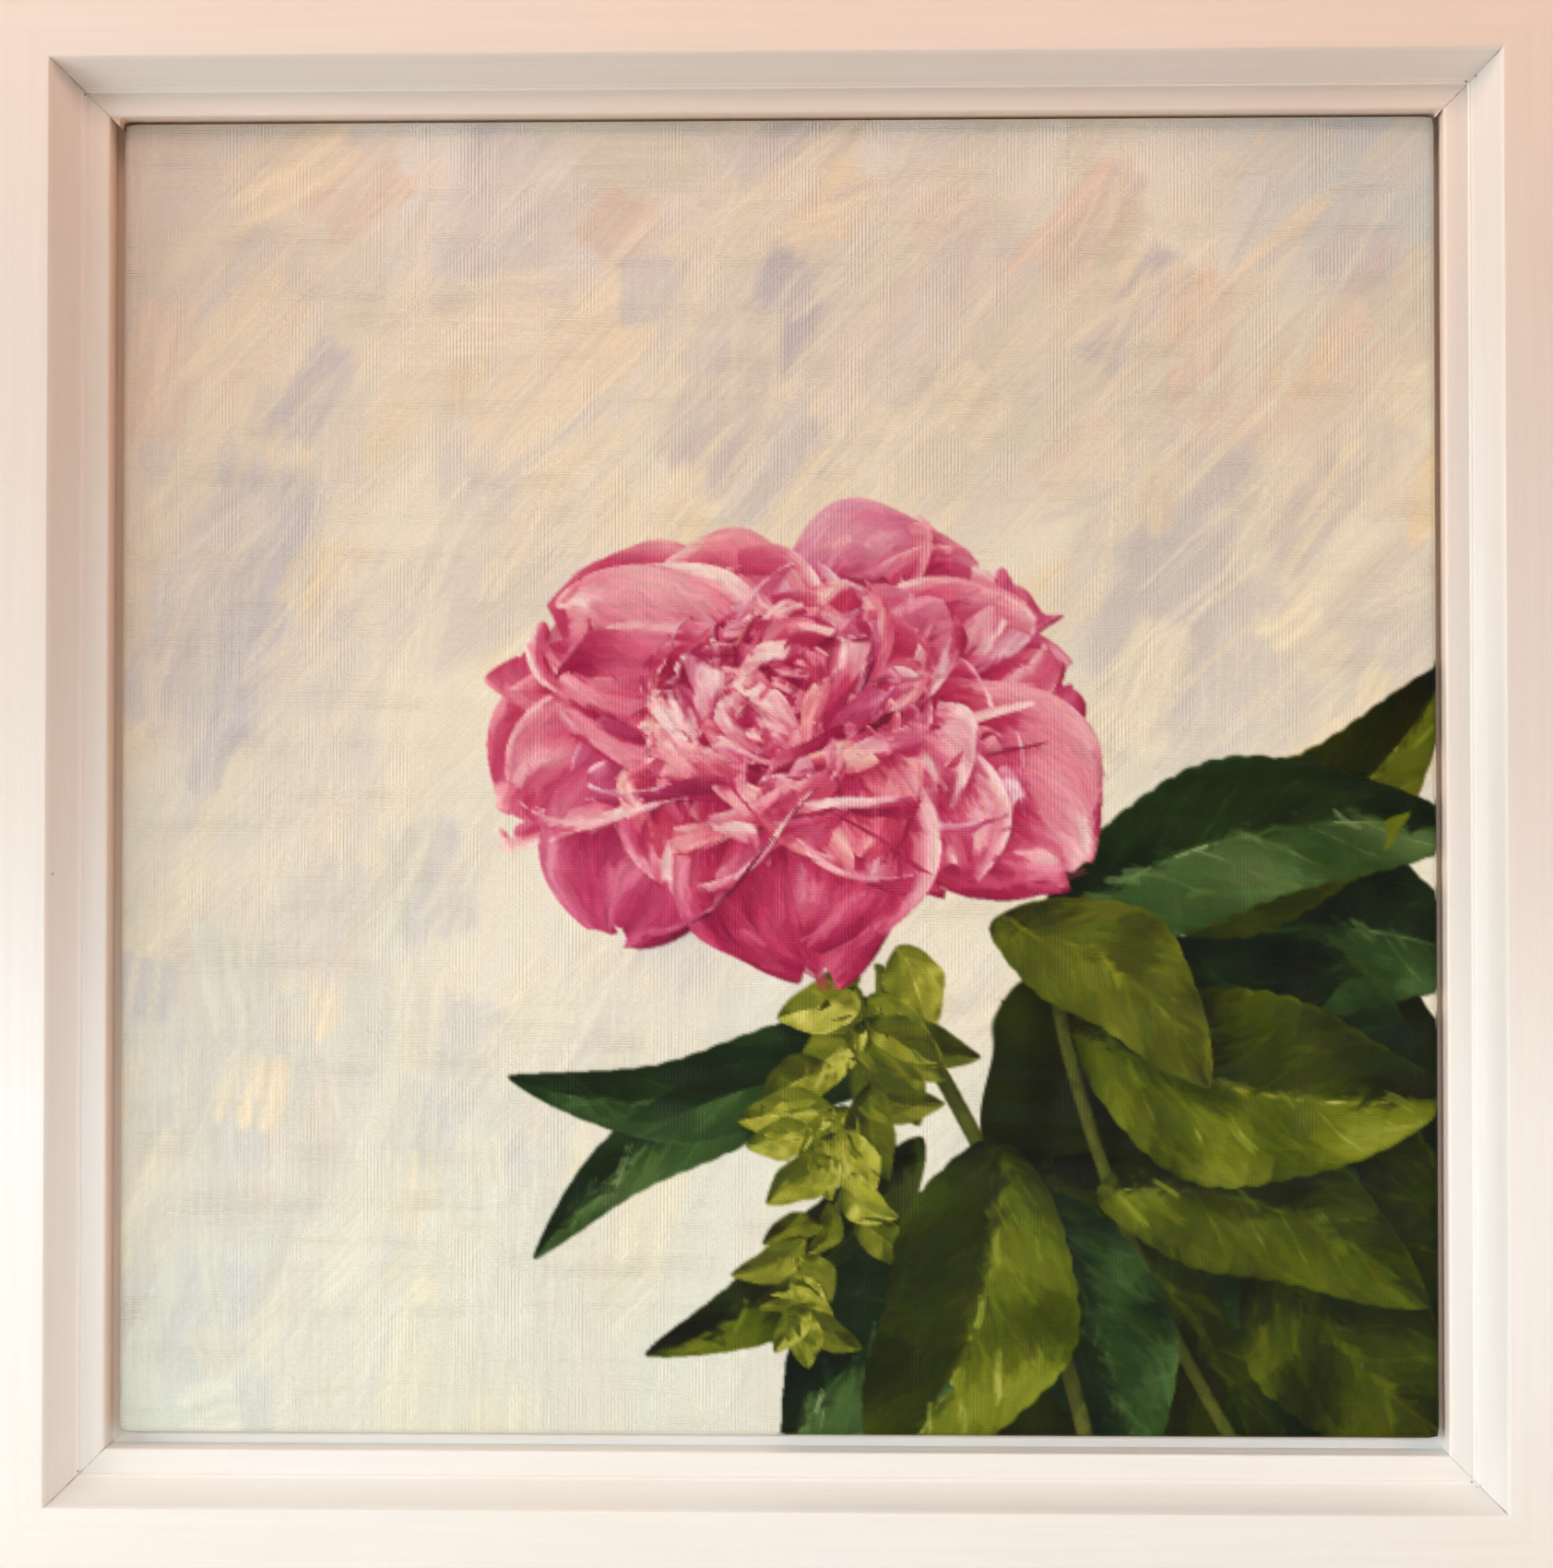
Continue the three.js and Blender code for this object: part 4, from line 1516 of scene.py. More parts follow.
@dataclass
class Cast:
    """What of a modelled plant is seen from the front, cell by cell.

    The nearest point in each cell gives its depth and its facts: its place along and across its
    petal or leaf, its slope and its heading.
    """

    easel: Easel
    fact_count: int = 7

    def __post_init__(self) -> None:
        """Starts with nothing in any cell."""
        shape = (self.easel.cells,) * 2
        self.depth = np.full(shape, -1.0)
        self.owner = np.full(shape, -1)
        self.facts = np.zeros((*shape, self.fact_count))
        self.owners = 0

    def add(self, points: Array, u: Array, v: Array) -> int:
        """Casts one petal, leaf or stem, and fills the single cells that its points miss.

        Args:
            points: rows by columns by (across, up, towards the viewer), in metres.
            u: each point's place along, from 0 to 1.
            v: its place across, from -1 to 1.

        Returns:
            The number that its cells now carry.
        """
        along, across = np.gradient(points, axis=(0, 1))
        normal = np.cross(along, across)
        normal /= np.linalg.norm(normal, axis=-1, keepdims=True) + 1e-12
        normal *= np.where(normal[..., 2:] < 0, -1.0, 1.0)
        facts = np.concatenate(
            [u[..., None], v[..., None], normal, along[..., :2] / self.easel.pitch], axis=-1
        ).reshape(-1, self.fact_count)
        flat = points.reshape(-1, 3)
        inside = (np.abs(flat[:, :2]) < self.easel.half).all(axis=1)
        order = np.argsort(flat[:, 2])
        order = order[inside[order]]
        flat, facts = flat[order], facts[order]
        rows, columns = self.easel.cell(flat[:, :2])
        box = (slice(rows.min(), rows.max() + 1), slice(columns.min(), columns.max() + 1))
        cell = (rows - rows.min(), columns - columns.min())
        nearest = np.full(self.depth[box].shape, -1.0)
        values = np.zeros(self.facts[box].shape)
        nearest[cell], values[cell] = flat[:, 2], facts
        for axis in (0, 1):
            before, after = np.roll(nearest, 1, axis), np.roll(nearest, -1, axis)
            gap = (nearest == -1.0) & (before > -1.0) & (after > -1.0)
            nearest[gap], values[gap] = before[gap], np.roll(values, 1, axis)[gap]
        wins = nearest > self.depth[box]
        self.depth[box][wins], self.facts[box][wins] = nearest[wins], values[wins]
        self.owner[box][wins] = self.owners
        self.owners += 1
        return self.owners - 1

    def cover(self) -> Array:
        """Where anything was cast."""
        return self.owner >= 0

    def hollows(self, size: float) -> Array:
        """How far each cell lies behind its neighbourhood.

        Args:
            size: the neighbourhood's size in cells.

        Returns:
            Depths in metres, 0 or more.
        """
        solid = self.cover()
        depth = np.where(solid, self.depth, 0.0)
        near = blurred(np.stack([depth, solid.astype(float)], axis=-1), size)
        return np.where(solid, np.clip(near[..., 0] / np.maximum(near[..., 1], 0.05) - depth, 0, None), 0)

    def shadow(self, light: Array, steps: int, stride: int) -> Array:
        """Cast shadows: whether something nearer stands towards the light.

        Each step looks further towards the light, where a thing must stand higher by the light's
        own slope to throw a shadow here.

        Args:
            light: the way to the light: right, up and forward.
            steps: how many places it looks at.
            stride: cells from one to the next.

        Returns:
            Shadow from 0 to 1 in each cell.
        """
        depth = np.where(self.cover(), self.depth, -1.0)
        heading = light[:2] / np.linalg.norm(light[:2])
        slope = light[2] / np.linalg.norm(light[:2])
        dark = np.zeros_like(depth)
        for i in range(1, steps + 1):
            move = np.round(heading * i * stride).astype(int)
            away = np.roll(depth, (-move[0], -move[1]), axis=(0, 1))
            over = away - depth - slope * i * stride * self.easel.pitch
            dark = np.maximum(dark, smoothstep(0.0, 0.003, over) * (1 - 0.5 * i / steps))
        return dark


class Tint(Enum):
    """The families of colour that the picture is mixed from, dark to light."""

    PETAL = (
        (0.0, (106, 14, 46)),
        (0.22, (164, 32, 76)),
        (0.42, (198, 60, 104)),
        (0.6, (218, 104, 138)),
        (0.76, (233, 152, 172)),
        (0.9, (244, 194, 202)),
        (1.0, (253, 228, 226)),
    )
    LEAF = (
        (0.0, (10, 13, 0)),
        (0.25, (28, 36, 2)),
        (0.5, (64, 76, 2)),
        (0.7, (106, 118, 16)),
        (0.85, (154, 160, 58)),
        (1.0, (202, 202, 124)),
    )
    COOL_LEAF = (
        (0.0, (5, 14, 6)),
        (0.3, (20, 38, 12)),
        (0.55, (48, 76, 30)),
        (0.75, (94, 122, 66)),
        (1.0, (168, 190, 140)),
    )
    OLIVE = (
        (0.0, (34, 38, 6)),
        (0.35, (86, 96, 16)),
        (0.65, (150, 152, 44)),
        (0.85, (198, 196, 92)),
        (1.0, (232, 228, 150)),
    )
    STEM = (
        (0.0, (30, 36, 10)),
        (0.4, (78, 86, 26)),
        (0.7, (128, 132, 54)),
        (1.0, (190, 182, 104)),
    )


@dataclass(frozen=True)
class Whorl:
    """One ring of petals: their count, length, half width, and degrees from the flower's axis.

    The ruffle is how far the rim waves, as a share of the width.
    """

    count: int
    length: float
    width: float
    opening: float
    ruffle: float


@dataclass(frozen=True)
class Leaf:
    """One leaf or stem, from its base to its tip, in millimetres from the picture's centre."""

    base: tuple[float, float]
    tip: tuple[float, float]
    width: float
    bow: float = 0.1
    near: float = 0.0
    tint: Tint = Tint.LEAF
    light: float = 0.0


@dataclass
class FlowerStudy:
    """A full double bloom among leaves, on a loose pale ground: an invented study.

    The centre is the bloom's heart. Its axis leans up from the viewer and to the right by the tilt,
    in degrees. The light's way is right, up and forward.
    """

    easel: Easel
    centre: tuple[float, float] = (6 * MM, -8 * MM)
    tilt: tuple[float, float] = (47.0, -6.0)
    light: tuple[float, float, float] = (-0.46, 0.62, 0.64)
    whorls: tuple[Whorl, ...] = (
        Whorl(8, 0.082, 0.034, 90, 0.09),
        Whorl(10, 0.071, 0.029, 76, 0.12),
        Whorl(12, 0.062, 0.024, 62, 0.15),
        Whorl(14, 0.054, 0.020, 49, 0.17),
        Whorl(14, 0.047, 0.017, 37, 0.2),
        Whorl(12, 0.040, 0.014, 25, 0.22),
        Whorl(9, 0.033, 0.011, 13, 0.22),
    )
    leaves: tuple[Leaf, ...] = (
        Leaf((84, -70), (158, -140), 24, 0.1, -5, Tint.LEAF, -0.14),
        Leaf((70, -50), (160, -96), 24, 0.1, -5, Tint.COOL_LEAF, -0.12),
        Leaf((60, -90), (112, -164), 24, 0.1, -5, Tint.LEAF, -0.14),
        Leaf((96, -40), (164, -44), 20, 0.1, -5, Tint.COOL_LEAF, -0.08),
        Leaf((92, -60), (126, -160), 20, 0.08, -3, Tint.COOL_LEAF, -0.04),
        Leaf((112, -100), (166, -158), 20, -0.1, -2, Tint.LEAF, -0.04),
        Leaf((58, -96), (84, -164), 17, 0.05, -2, Tint.COOL_LEAF),
        Leaf((22, -52), (-62, -70), 10, 0.16, -1, Tint.COOL_LEAF, -0.02),
        Leaf((24, -70), (-56, -112), 9, -0.12, -1, Tint.COOL_LEAF),
        Leaf((34, -84), (-30, -134), 10, 0.1, -1, Tint.LEAF, -0.04),
        Leaf((74, -96), (150, -122), 17, 0.12, 0, Tint.LEAF, 0.02),
        Leaf((66, -26), (156, 26), 17, -0.16, 0, Tint.LEAF, -0.02),
        Leaf((60, -38), (162, -14), 17, 0.12, 1, Tint.COOL_LEAF, 0.02),
        Leaf((68, -58), (156, -74), 22, -0.08, 2, Tint.LEAF, 0.06),
        Leaf((52, -84), (22, -166), 22, 0.1, 3, Tint.LEAF, 0.04),
        Leaf((60, -112), (2, -158), 19, -0.12, 1.5, Tint.COOL_LEAF, 0.0),
        Leaf((50, -34), (100, -72), 14, 0.14, 4, Tint.OLIVE, -0.12),
    )
    stems: tuple[Leaf, ...] = (
        Leaf((26, -50), (74, -164), 3.4, 0.05, 0.5, Tint.STEM),
        Leaf((64, -48), (112, -164), 2.8, -0.05, -3, Tint.STEM),
        Leaf((24, -44), (2, -124), 2.0, 0.08, 3, Tint.STEM),
    )
    sprig: tuple[tuple[float, float], tuple[float, float]] = ((24, -40), (4, -128))

    def sprig_leaves(self) -> list[Leaf]:
        """Small pale leaves in pairs down a hanging sprig, each row over the one behind.

        Returns:
            The leaves, from the back one forward.
        """
        rng = np.random.default_rng(5)
        start, end = (np.array(point, float) for point in self.sprig)
        made = []
        for i in range(34):
            way = (i // 2 + rng.random()) / 17
            base = start + (end - start) * way + rng.normal(0, 3, 2)
            lean = math.radians(-100 + (1 if i % 2 else -1) * rng.uniform(12, 80))
            length = rng.uniform(15, 25) * (1.12 - 0.4 * way)
            tip = base + np.array((math.cos(lean), math.sin(lean))) * length
            made.append(
                Leaf(
                    tuple(base), tuple(tip), length * rng.uniform(0.2, 0.3), rng.normal(0, 0.1),
                    3.2 + i * 0.05, Tint.OLIVE, rng.uniform(-0.2, 0.22),
                )
            )
        return made

    def petal(self, whorl: Whorl, turn: float, rng: Random) -> tuple[Array, Array, Array]:
        """One petal's points, seen from the front.

        Its middle line leaves the heart along the axis and opens to the whorl's angle by a smooth
        step, then curls back a little. Its half width grows as the root of the way along and closes
        in a rounded, notched tip. Its sides bend in by the square of the way across, and its rim
        waves.

        Args:
            whorl: its ring.
            turn: where it stands round the axis, in radians.
            rng: the source of its small differences.

        Returns:
            Its points, and each point's place along and across it.
        """
        size = rng.uniform(0.88, 1.1)
        length, width = whorl.length * size, whorl.width * size * rng.uniform(0.9, 1.12)
        step = self.easel.pitch / 2
        rows, columns = int(length / step), int(2 * width / step)
        u, v = np.meshgrid(np.linspace(0.0, 1, rows), np.linspace(-1, 1, columns), indexing="ij")
        opening = math.radians(whorl.opening + rng.normal(0, 5))
        curl = math.radians(rng.uniform(-10, 34) - max(0.0, 55 - whorl.opening))
        phi = opening * (0.35 + 0.75 * smoothstep(0, 0.6, u)) + curl * smoothstep(0.6, 1.0, u)
        notch = 1 - 0.05 * np.exp(-((v / 0.16) ** 2))
        notch = notch - 0.03 * np.sin(v * rng.uniform(5, 9) + rng.uniform(0, 6))
        out = np.cumsum(np.sin(phi), axis=0) / rows * length * notch
        rise = np.cumsum(np.cos(phi), axis=0) / rows * length * notch
        spread = width * 1.18 * u**0.55 * np.sqrt(1 - u**5 * 0.96)
        aside = v * spread
        cup = rng.uniform(0.25, 0.5) * spread * v**2
        rim = smoothstep(0.45, 1.0, np.maximum(u**1.5, np.abs(v)) * u**0.3)
        phase = rng.uniform(0, 6, 3)
        wave = np.sin(v * 5.5 + phase[0]) + 0.7 * np.sin(v * 11 + u * 5 + phase[1])
        wave += 0.5 * np.sin(u * 13 + phase[2]) * np.abs(v)
        lift = cup + whorl.ruffle * width * rim * wave
        out = out - lift * np.cos(phi)
        rise = rise + lift * np.sin(phi)
        x = out * math.cos(turn) - aside * math.sin(turn)
        y = out * math.sin(turn) + aside * math.cos(turn)
        up, right = (math.radians(angle) for angle in self.tilt)
        across = x * math.cos(right) + rise * math.sin(right)
        rise = rise * math.cos(right) - x * math.sin(right)
        upward = y * math.cos(up) + rise * math.sin(up)
        forward = rise * math.cos(up) - y * math.sin(up)
        points = np.stack([across + self.centre[0], upward + self.centre[1], forward], axis=-1)
        return points, u, v

    def bloom(self) -> tuple[Cast, Array]:
        """Casts every petal of the flower.

        Returns:
            The cast, and for each petal how much lighter and how much warmer it is.
        """
        rng = np.random.default_rng(31)
        cast = Cast(self.easel)
        moods = []
        for whorl in self.whorls:
            start = rng.uniform(0, 2 * math.pi)
            for i in range(whorl.count):
                turn = start + 2 * math.pi * (i + rng.normal(0, 0.16)) / whorl.count
                cast.add(*self.petal(whorl, turn, rng))
                moods.append((rng.normal(0, 0.06), rng.normal(0, 1)))
        return cast, np.array(moods)

    def leaf_points(self, leaf: Leaf, rng: Random) -> tuple[Array, Array, Array]:
        """One leaf's or stem's points.

        Its middle line is straight from base to tip and bowed by a parabola. Its half width is the
        sine of the way along to the power 0.75, drawn towards the base, and its two halves fold up
        from the midrib with a slow wave. A stem keeps one width and is round.

        Args:
            leaf: the leaf or stem.
            rng: the source of its small differences.

        Returns:
            Its points, and each point's place along and across it.
        """
        base, tip = np.array(leaf.base) * MM, np.array(leaf.tip) * MM
        length, width = np.linalg.norm(tip - base), leaf.width * MM
        heading = (tip - base) / length
        side = np.array((-heading[1], heading[0]))
        step = self.easel.pitch / 1.6
        rows, columns = int(length / step), max(int(2 * width / step), 8)
        u, v = np.meshgrid(np.linspace(0, 1, rows), np.linspace(-1, 1, columns), indexing="ij")
        bow = leaf.bow * length * 4 * u * (1 - u)
        if leaf.tint is Tint.STEM:
            aside, lift = v * width / 2, np.sqrt(1 - 0.96 * v**2) * width / 2
        else:
            profile = np.sin(math.pi * u**0.82) ** 0.75
            lobes = 1 + 0.06 * np.sin(u * rng.uniform(9, 14) + v * 2)
            lobes = lobes + 0.035 * np.abs(np.sin(u * length / MM * 0.55))
            aside = v * width * profile * lobes
            fold = rng.uniform(0.28, 0.5)
            wave = 0.10 * np.sin(u * 9 + v * 1.5 + rng.uniform(0, 6))
            wave = wave + 0.06 * np.sin(u * 21 + rng.uniform(0, 6))
            lift = width * (np.abs(v) * fold + wave * np.abs(v) + 0.5 * u * (1 - u))
        flat = base + heading * (u[..., None] * length) + side * (aside + bow)[..., None]
        return np.concatenate([flat, (lift + leaf.near * 6 * MM + 0.1)[..., None]], axis=-1), u, v

    def ground(self) -> None:
        """The pale ground: broad colour by region, then soft patches and long lean strokes."""
        easel, rng = self.easel, self.easel.rng
        spots = np.array([place for place, _ in GROUND_TINTS]) * MM
        tints = np.array([tint for _, tint in GROUND_TINTS]) / 255
        gap = [np.hypot(easel.line[:, None] - x, easel.line[None] - z) for x, z in spots]
        weight = 1 / (np.stack(gap, axis=-1) ** 2 + (18 * MM) ** 2) ** 1.5
        easel.colour = (weight / weight.sum(axis=-1, keepdims=True)) @ tints
        under = easel.colour.copy()
        accents = np.array(GROUND_ACCENTS) / 255
        for layer in GROUND_LAYERS:
            for _ in range(layer.count):
                spot = rng.uniform(-1, 1, 2) * easel.half
                steep = 52 + 26 * smoothstep(-0.2, 1.2, -(spot[0] + spot[1]) / easel.half)
                lean = math.radians(rng.normal(steep, layer.spread))
                size = tuple(rng.uniform(low, high) * MM for low, high in (layer.length, layer.width))
                local = under[easel.cell(spot)]
                high = 0.5 + 0.5 * spot[1] / easel.half
                accent = accents[rng.integers(len(accents))]
                share = rng.uniform(0.3, 1.0) * layer.accent * (0.4 + 0.6 * high)
                tint = local + (accent - local) * share
                load = rng.uniform(0.6, 1.0) * layer.load
                body = rng.uniform(0.3, 1) * layer.body
                easel.stroke(spot, lean, size, tint, load, body, rng.normal(0, 0.03))
            easel.colour = blurred(easel.colour, layer.soften * MM / easel.pitch)

    def lay_in(self, cast: Cast, colour: Array, relief: Array, edge: float = 0.8) -> None:
        """Covers what was cast with its colour and thickness, with a soft edge.

        Args:
            cast: petals or leaves.
            colour: their colours, cell by cell.
            relief: their height in millimetres.
            edge: the softness of the outline in cells.
        """
        easel, solid = self.easel, cast.cover()[..., None]
        share = np.clip(blurred(solid.astype(float), edge), 0, 1)
        spread = blurred(np.where(solid, colour, 0.0), 2.0) / np.maximum(blurred(solid * 1.0, 2.0), 0.02)
        filled = np.where(solid, colour, np.clip(spread, 0, 1))
        share = np.where(share > 0.02, share, 0.0)
        easel.colour += (filled - easel.colour) * share
        easel.height += (blurred(np.where(solid[..., 0], relief, 0.0), edge) - easel.height) * share[..., 0]

    def paint_leaves(self) -> None:
        """Dark masses behind, then stems and leaves with folded halves and pale veins.

        A leaf's tone is half its facing to the light plus a half, darker in the shadow of its
        neighbours and along its rim, and lighter on the midrib and on side veins that sweep
        towards the tip.
        """
        easel = self.easel
        x, z = easel.line[:, None], easel.line[None]
        mass = sum(
            np.exp(-((x - right * MM) ** 2 + (z - up * MM) ** 2) / (reach * MM) ** 2)
            for right, up, reach in DARK_MASSES
        )
        places = np.stack(np.broadcast_arrays(x, z), axis=-1)
        uneven = wavy(places, np.random.default_rng(8), 26 * MM) * 0.12
        share = smoothstep(0.505, 0.535, mass + uneven)[..., None]
        deep = np.clip(0.16 + 0.10 * wavy(places, np.random.default_rng(9), 30 * MM), 0, 1)
        easel.colour += (ramp(deep, list(Tint.LEAF.value)) - easel.colour) * share
        easel.height += 0.05 * share[..., 0]
        grow = np.random.default_rng(12)
        cast, kinds = Cast(easel), []
        for leaf in (*self.stems, *self.leaves, *self.sprig_leaves()):
            cast.add(*self.leaf_points(leaf, grow))
            kinds.append((leaf.light, list(Tint).index(leaf.tint)))
        kinds = np.array(kinds)[np.clip(cast.owner, 0, None)]
        u, v, normal = cast.facts[..., 0], cast.facts[..., 1], cast.facts[..., 2:5]
        light = unit(np.array(self.light))
        leafy = kinds[..., 1] != list(Tint).index(Tint.STEM)
        tone = 0.66 * (0.5 + 0.5 * np.clip(normal @ light, -1, 1)) ** 2.2 + 0.04 + kinds[..., 0]
        tone *= np.exp(-cast.hollows(14) / 0.03) * 0.5 + 0.5
        tone *= 1 - 0.5 * blurred(cast.shadow(light, 12, 3), 2.5)
        tone += 0.05 * np.sin(u * 17 + v * 3 + kinds[..., 0] * 40) * leafy
        aside = np.abs(v)
        sweep = (u - aside**0.85 * 0.2) * 8
        line = np.abs(sweep - np.round(sweep)) / 8
        vein = np.maximum(
            1 - smoothstep(0.02, 0.07, aside),
            0.6 * (1 - smoothstep(0.002, 0.007, line)) * (1 - smoothstep(0.5, 0.95, aside)),
        )
        tone += 0.24 * vein * leafy * (0.5 + tone)
        tone += 0.10 * smoothstep(0.93, 0.985, aside) * leafy * (v > 0)
        tone = np.clip(tone, 0, 1)
        colour = np.zeros(tone.shape + (3,))
        for number, tint in enumerate(Tint):
            colour = np.where((kinds[..., 1] == number)[..., None], ramp(tone, list(tint.value)), colour)
        self.lay_in(cast, colour, 0.12 + np.clip(cast.depth - 0.08, 0, 0.08) * 3 - 0.03 * vein)
        self.work_over(cast, colour, 3000, (6.0, 22.0), (1.2, 4.2), 0.5, 0.0)

    def shades(self, cast: Cast, moods: Array) -> Array:
        """The bloom's tone: half the facing to the light plus a half.

        It is darkened in hollows, in cast shadows, low down and towards each petal's base, and
        lightened along its rim.

        Args:
            cast: the petals.
            moods: each petal's own lightness and warmth.

        Returns:
            Tones from 0 to 1, cell by cell.
        """
        light = unit(np.array(self.light))
        u, v, normal = cast.facts[..., 0], cast.facts[..., 1], cast.facts[..., 2:5]
        facing = np.clip(normal @ light, -1, 1)
        tone = 0.10 + 0.80 * (0.5 + 0.5 * facing) ** 1.6
        tone += moods[np.clip(cast.owner, 0, None)][..., 0]
        tone *= 0.5 + 0.5 * smoothstep(0.05, 0.8, u)
        tone *= np.exp(-cast.hollows(14) / 0.010) * 0.62 + 0.38
        tone *= 1 - 0.6 * smoothstep(4 * MM, 38 * MM, self.centre[1] - self.easel.line[None])
        tone *= 1 - 0.5 * blurred(cast.shadow(light, 14, 3), 1.5)
        sides = smoothstep(0.84, 0.97, np.abs(v)) * smoothstep(0.3, 0.6, u)
        rim = np.maximum(smoothstep(0.9, 0.985, u), sides)
        tone += 0.2 * rim * (0.4 + 0.6 * np.clip(facing + 0.3, 0, 1))
        tone += 0.018 * np.sin(v * 26 + np.sin(u * 5) * 1.5) * smoothstep(0.1, 0.5, u)
        return np.clip(tone, 0, 1)

    def paint_bloom(self) -> None:
        """Lays the petals in smoothly, then works over them with strokes along each petal."""
        cast, moods = self.bloom()
        tone = self.shades(cast, moods)
        colour = ramp(tone, list(Tint.PETAL.value))
        mood = moods[np.clip(cast.owner, 0, None)][..., 1:2]
        warm, cool = np.array((240, 118, 100)) / 255, np.array((196, 150, 206)) / 255
        share = np.clip(np.abs(mood) - 0.5, 0, 1.2) * 0.16 * (0.3 + tone[..., None])
        colour += (np.where(mood > 0, warm, cool) - colour) * share
        self.lay_in(cast, colour, 0.35 + cast.depth * 7.0)
        self.work_over(cast, colour, 4200, (5.0, 15.0), (1.1, 3.4))

    def paint(self) -> Easel:
        """Paints the whole picture, its ground in coarser cells than its flower.

        Returns:
            The easel with the finished picture.
        """
        self.ground()
        self.easel = self.easel.doubled()
        self.paint_leaves()
        self.paint_bloom()
        return self.easel

    def work_over(
        self,
        cast: Cast,
        colour: Array,
        count: int,
        lengths: tuple[float, float],
        widths: tuple[float, float],
        sweep: float = 0.0,
        loose: float = 0.08,
    ) -> None:
        """Strokes along each petal or leaf, in the colour that lies under the brush.

        Args:
            cast: what was laid in.
            colour: its colours.
            count: how many strokes.
            lengths: the shortest and longest stroke, in millimetres.
            widths: the thinnest and widest, in millimetres.
            sweep: how far strokes lean away from the middle line, in radians.
            loose: the share of strokes that may run over an edge.
        """
        easel, rng = self.easel, self.easel.rng
        cells = np.argwhere(cast.cover())
        for number, (i, j) in enumerate(cells[rng.integers(len(cells), size=count)]):
            near = 1 - number / count
            spot = np.array((easel.line[i], easel.line[j]))
            dx, dz = cast.facts[i, j, 5:7]
            lean = math.atan2(dz, dx) + rng.normal(0, 0.16) + sweep * np.sign(cast.facts[i, j, 1])
            length = (lengths[0] + (lengths[1] - lengths[0]) * near * rng.random()) * MM
            width = (widths[0] + (widths[1] - widths[0]) * near * rng.random()) * MM
            tint = np.clip(colour[i, j] * (1 + rng.normal(0, 0.035)) + rng.normal(0, 0.012, 3), 0, 1)
            within = (cast.owner, cast.owner[i, j]) if rng.random() >= loose else None
            easel.stroke(
                spot, lean, (length, width), tint, rng.uniform(0.3, 0.65),
                rng.uniform(0.04, 0.12), rng.normal(0, 0.05), within,
            )


@dataclass(frozen=True)
class GroundLayer:
    """One pass over the ground: strokes of like size, then a little blending."""

    count: int
    length: tuple[float, float]
    width: tuple[float, float]
    accent: float
    load: float
    body: float
    spread: float
    soften: float


GROUND_LAYERS = (
    GroundLayer(130, (36, 80), (18, 36), 1.0, 0.85, 0.03, 24, 1.2),
    GroundLayer(190, (14, 36), (9, 22), 1.15, 0.85, 0.06, 20, 0.35),
    GroundLayer(220, (18, 60), (4, 10), 0.6, 0.5, 0.14, 12, 0.15),
    GroundLayer(420, (14, 50), (1.2, 3.2), 0.6, 0.6, 0.26, 10, 0.03),
)
GROUND_TINTS = (
    ((-150, 150), (224, 217, 203)),
    ((-60, 150), (233, 235, 234)),
    ((40, 150), (229, 233, 231)),
    ((150, 150), (202, 217, 226)),
    ((-150, 40), (229, 224, 213)),
    ((-150, -60), (220, 222, 212)),
    ((-150, -150), (221, 229, 219)),
    ((-60, -130), (226, 231, 216)),
    ((-60, 40), (250, 247, 229)),
    ((-80, -20), (241, 238, 222)),
    ((120, 60), (248, 250, 228)),
    ((60, 100), (246, 244, 229)),
    ((130, 20), (250, 250, 228)),
)
GROUND_ACCENTS = (
    (242, 230, 200),
    (238, 225, 194),
    (246, 229, 196),
    (204, 203, 208),
    (197, 198, 206),
    (212, 208, 206),
    (226, 211, 198),
    (218, 220, 206),
)
DARK_MASSES = (
    (104, -112, 40),
    (130, -70, 30),
    (74, -66, 30),
    (66, -128, 34),
    (140, -134, 34),
)


# ---------- the picture


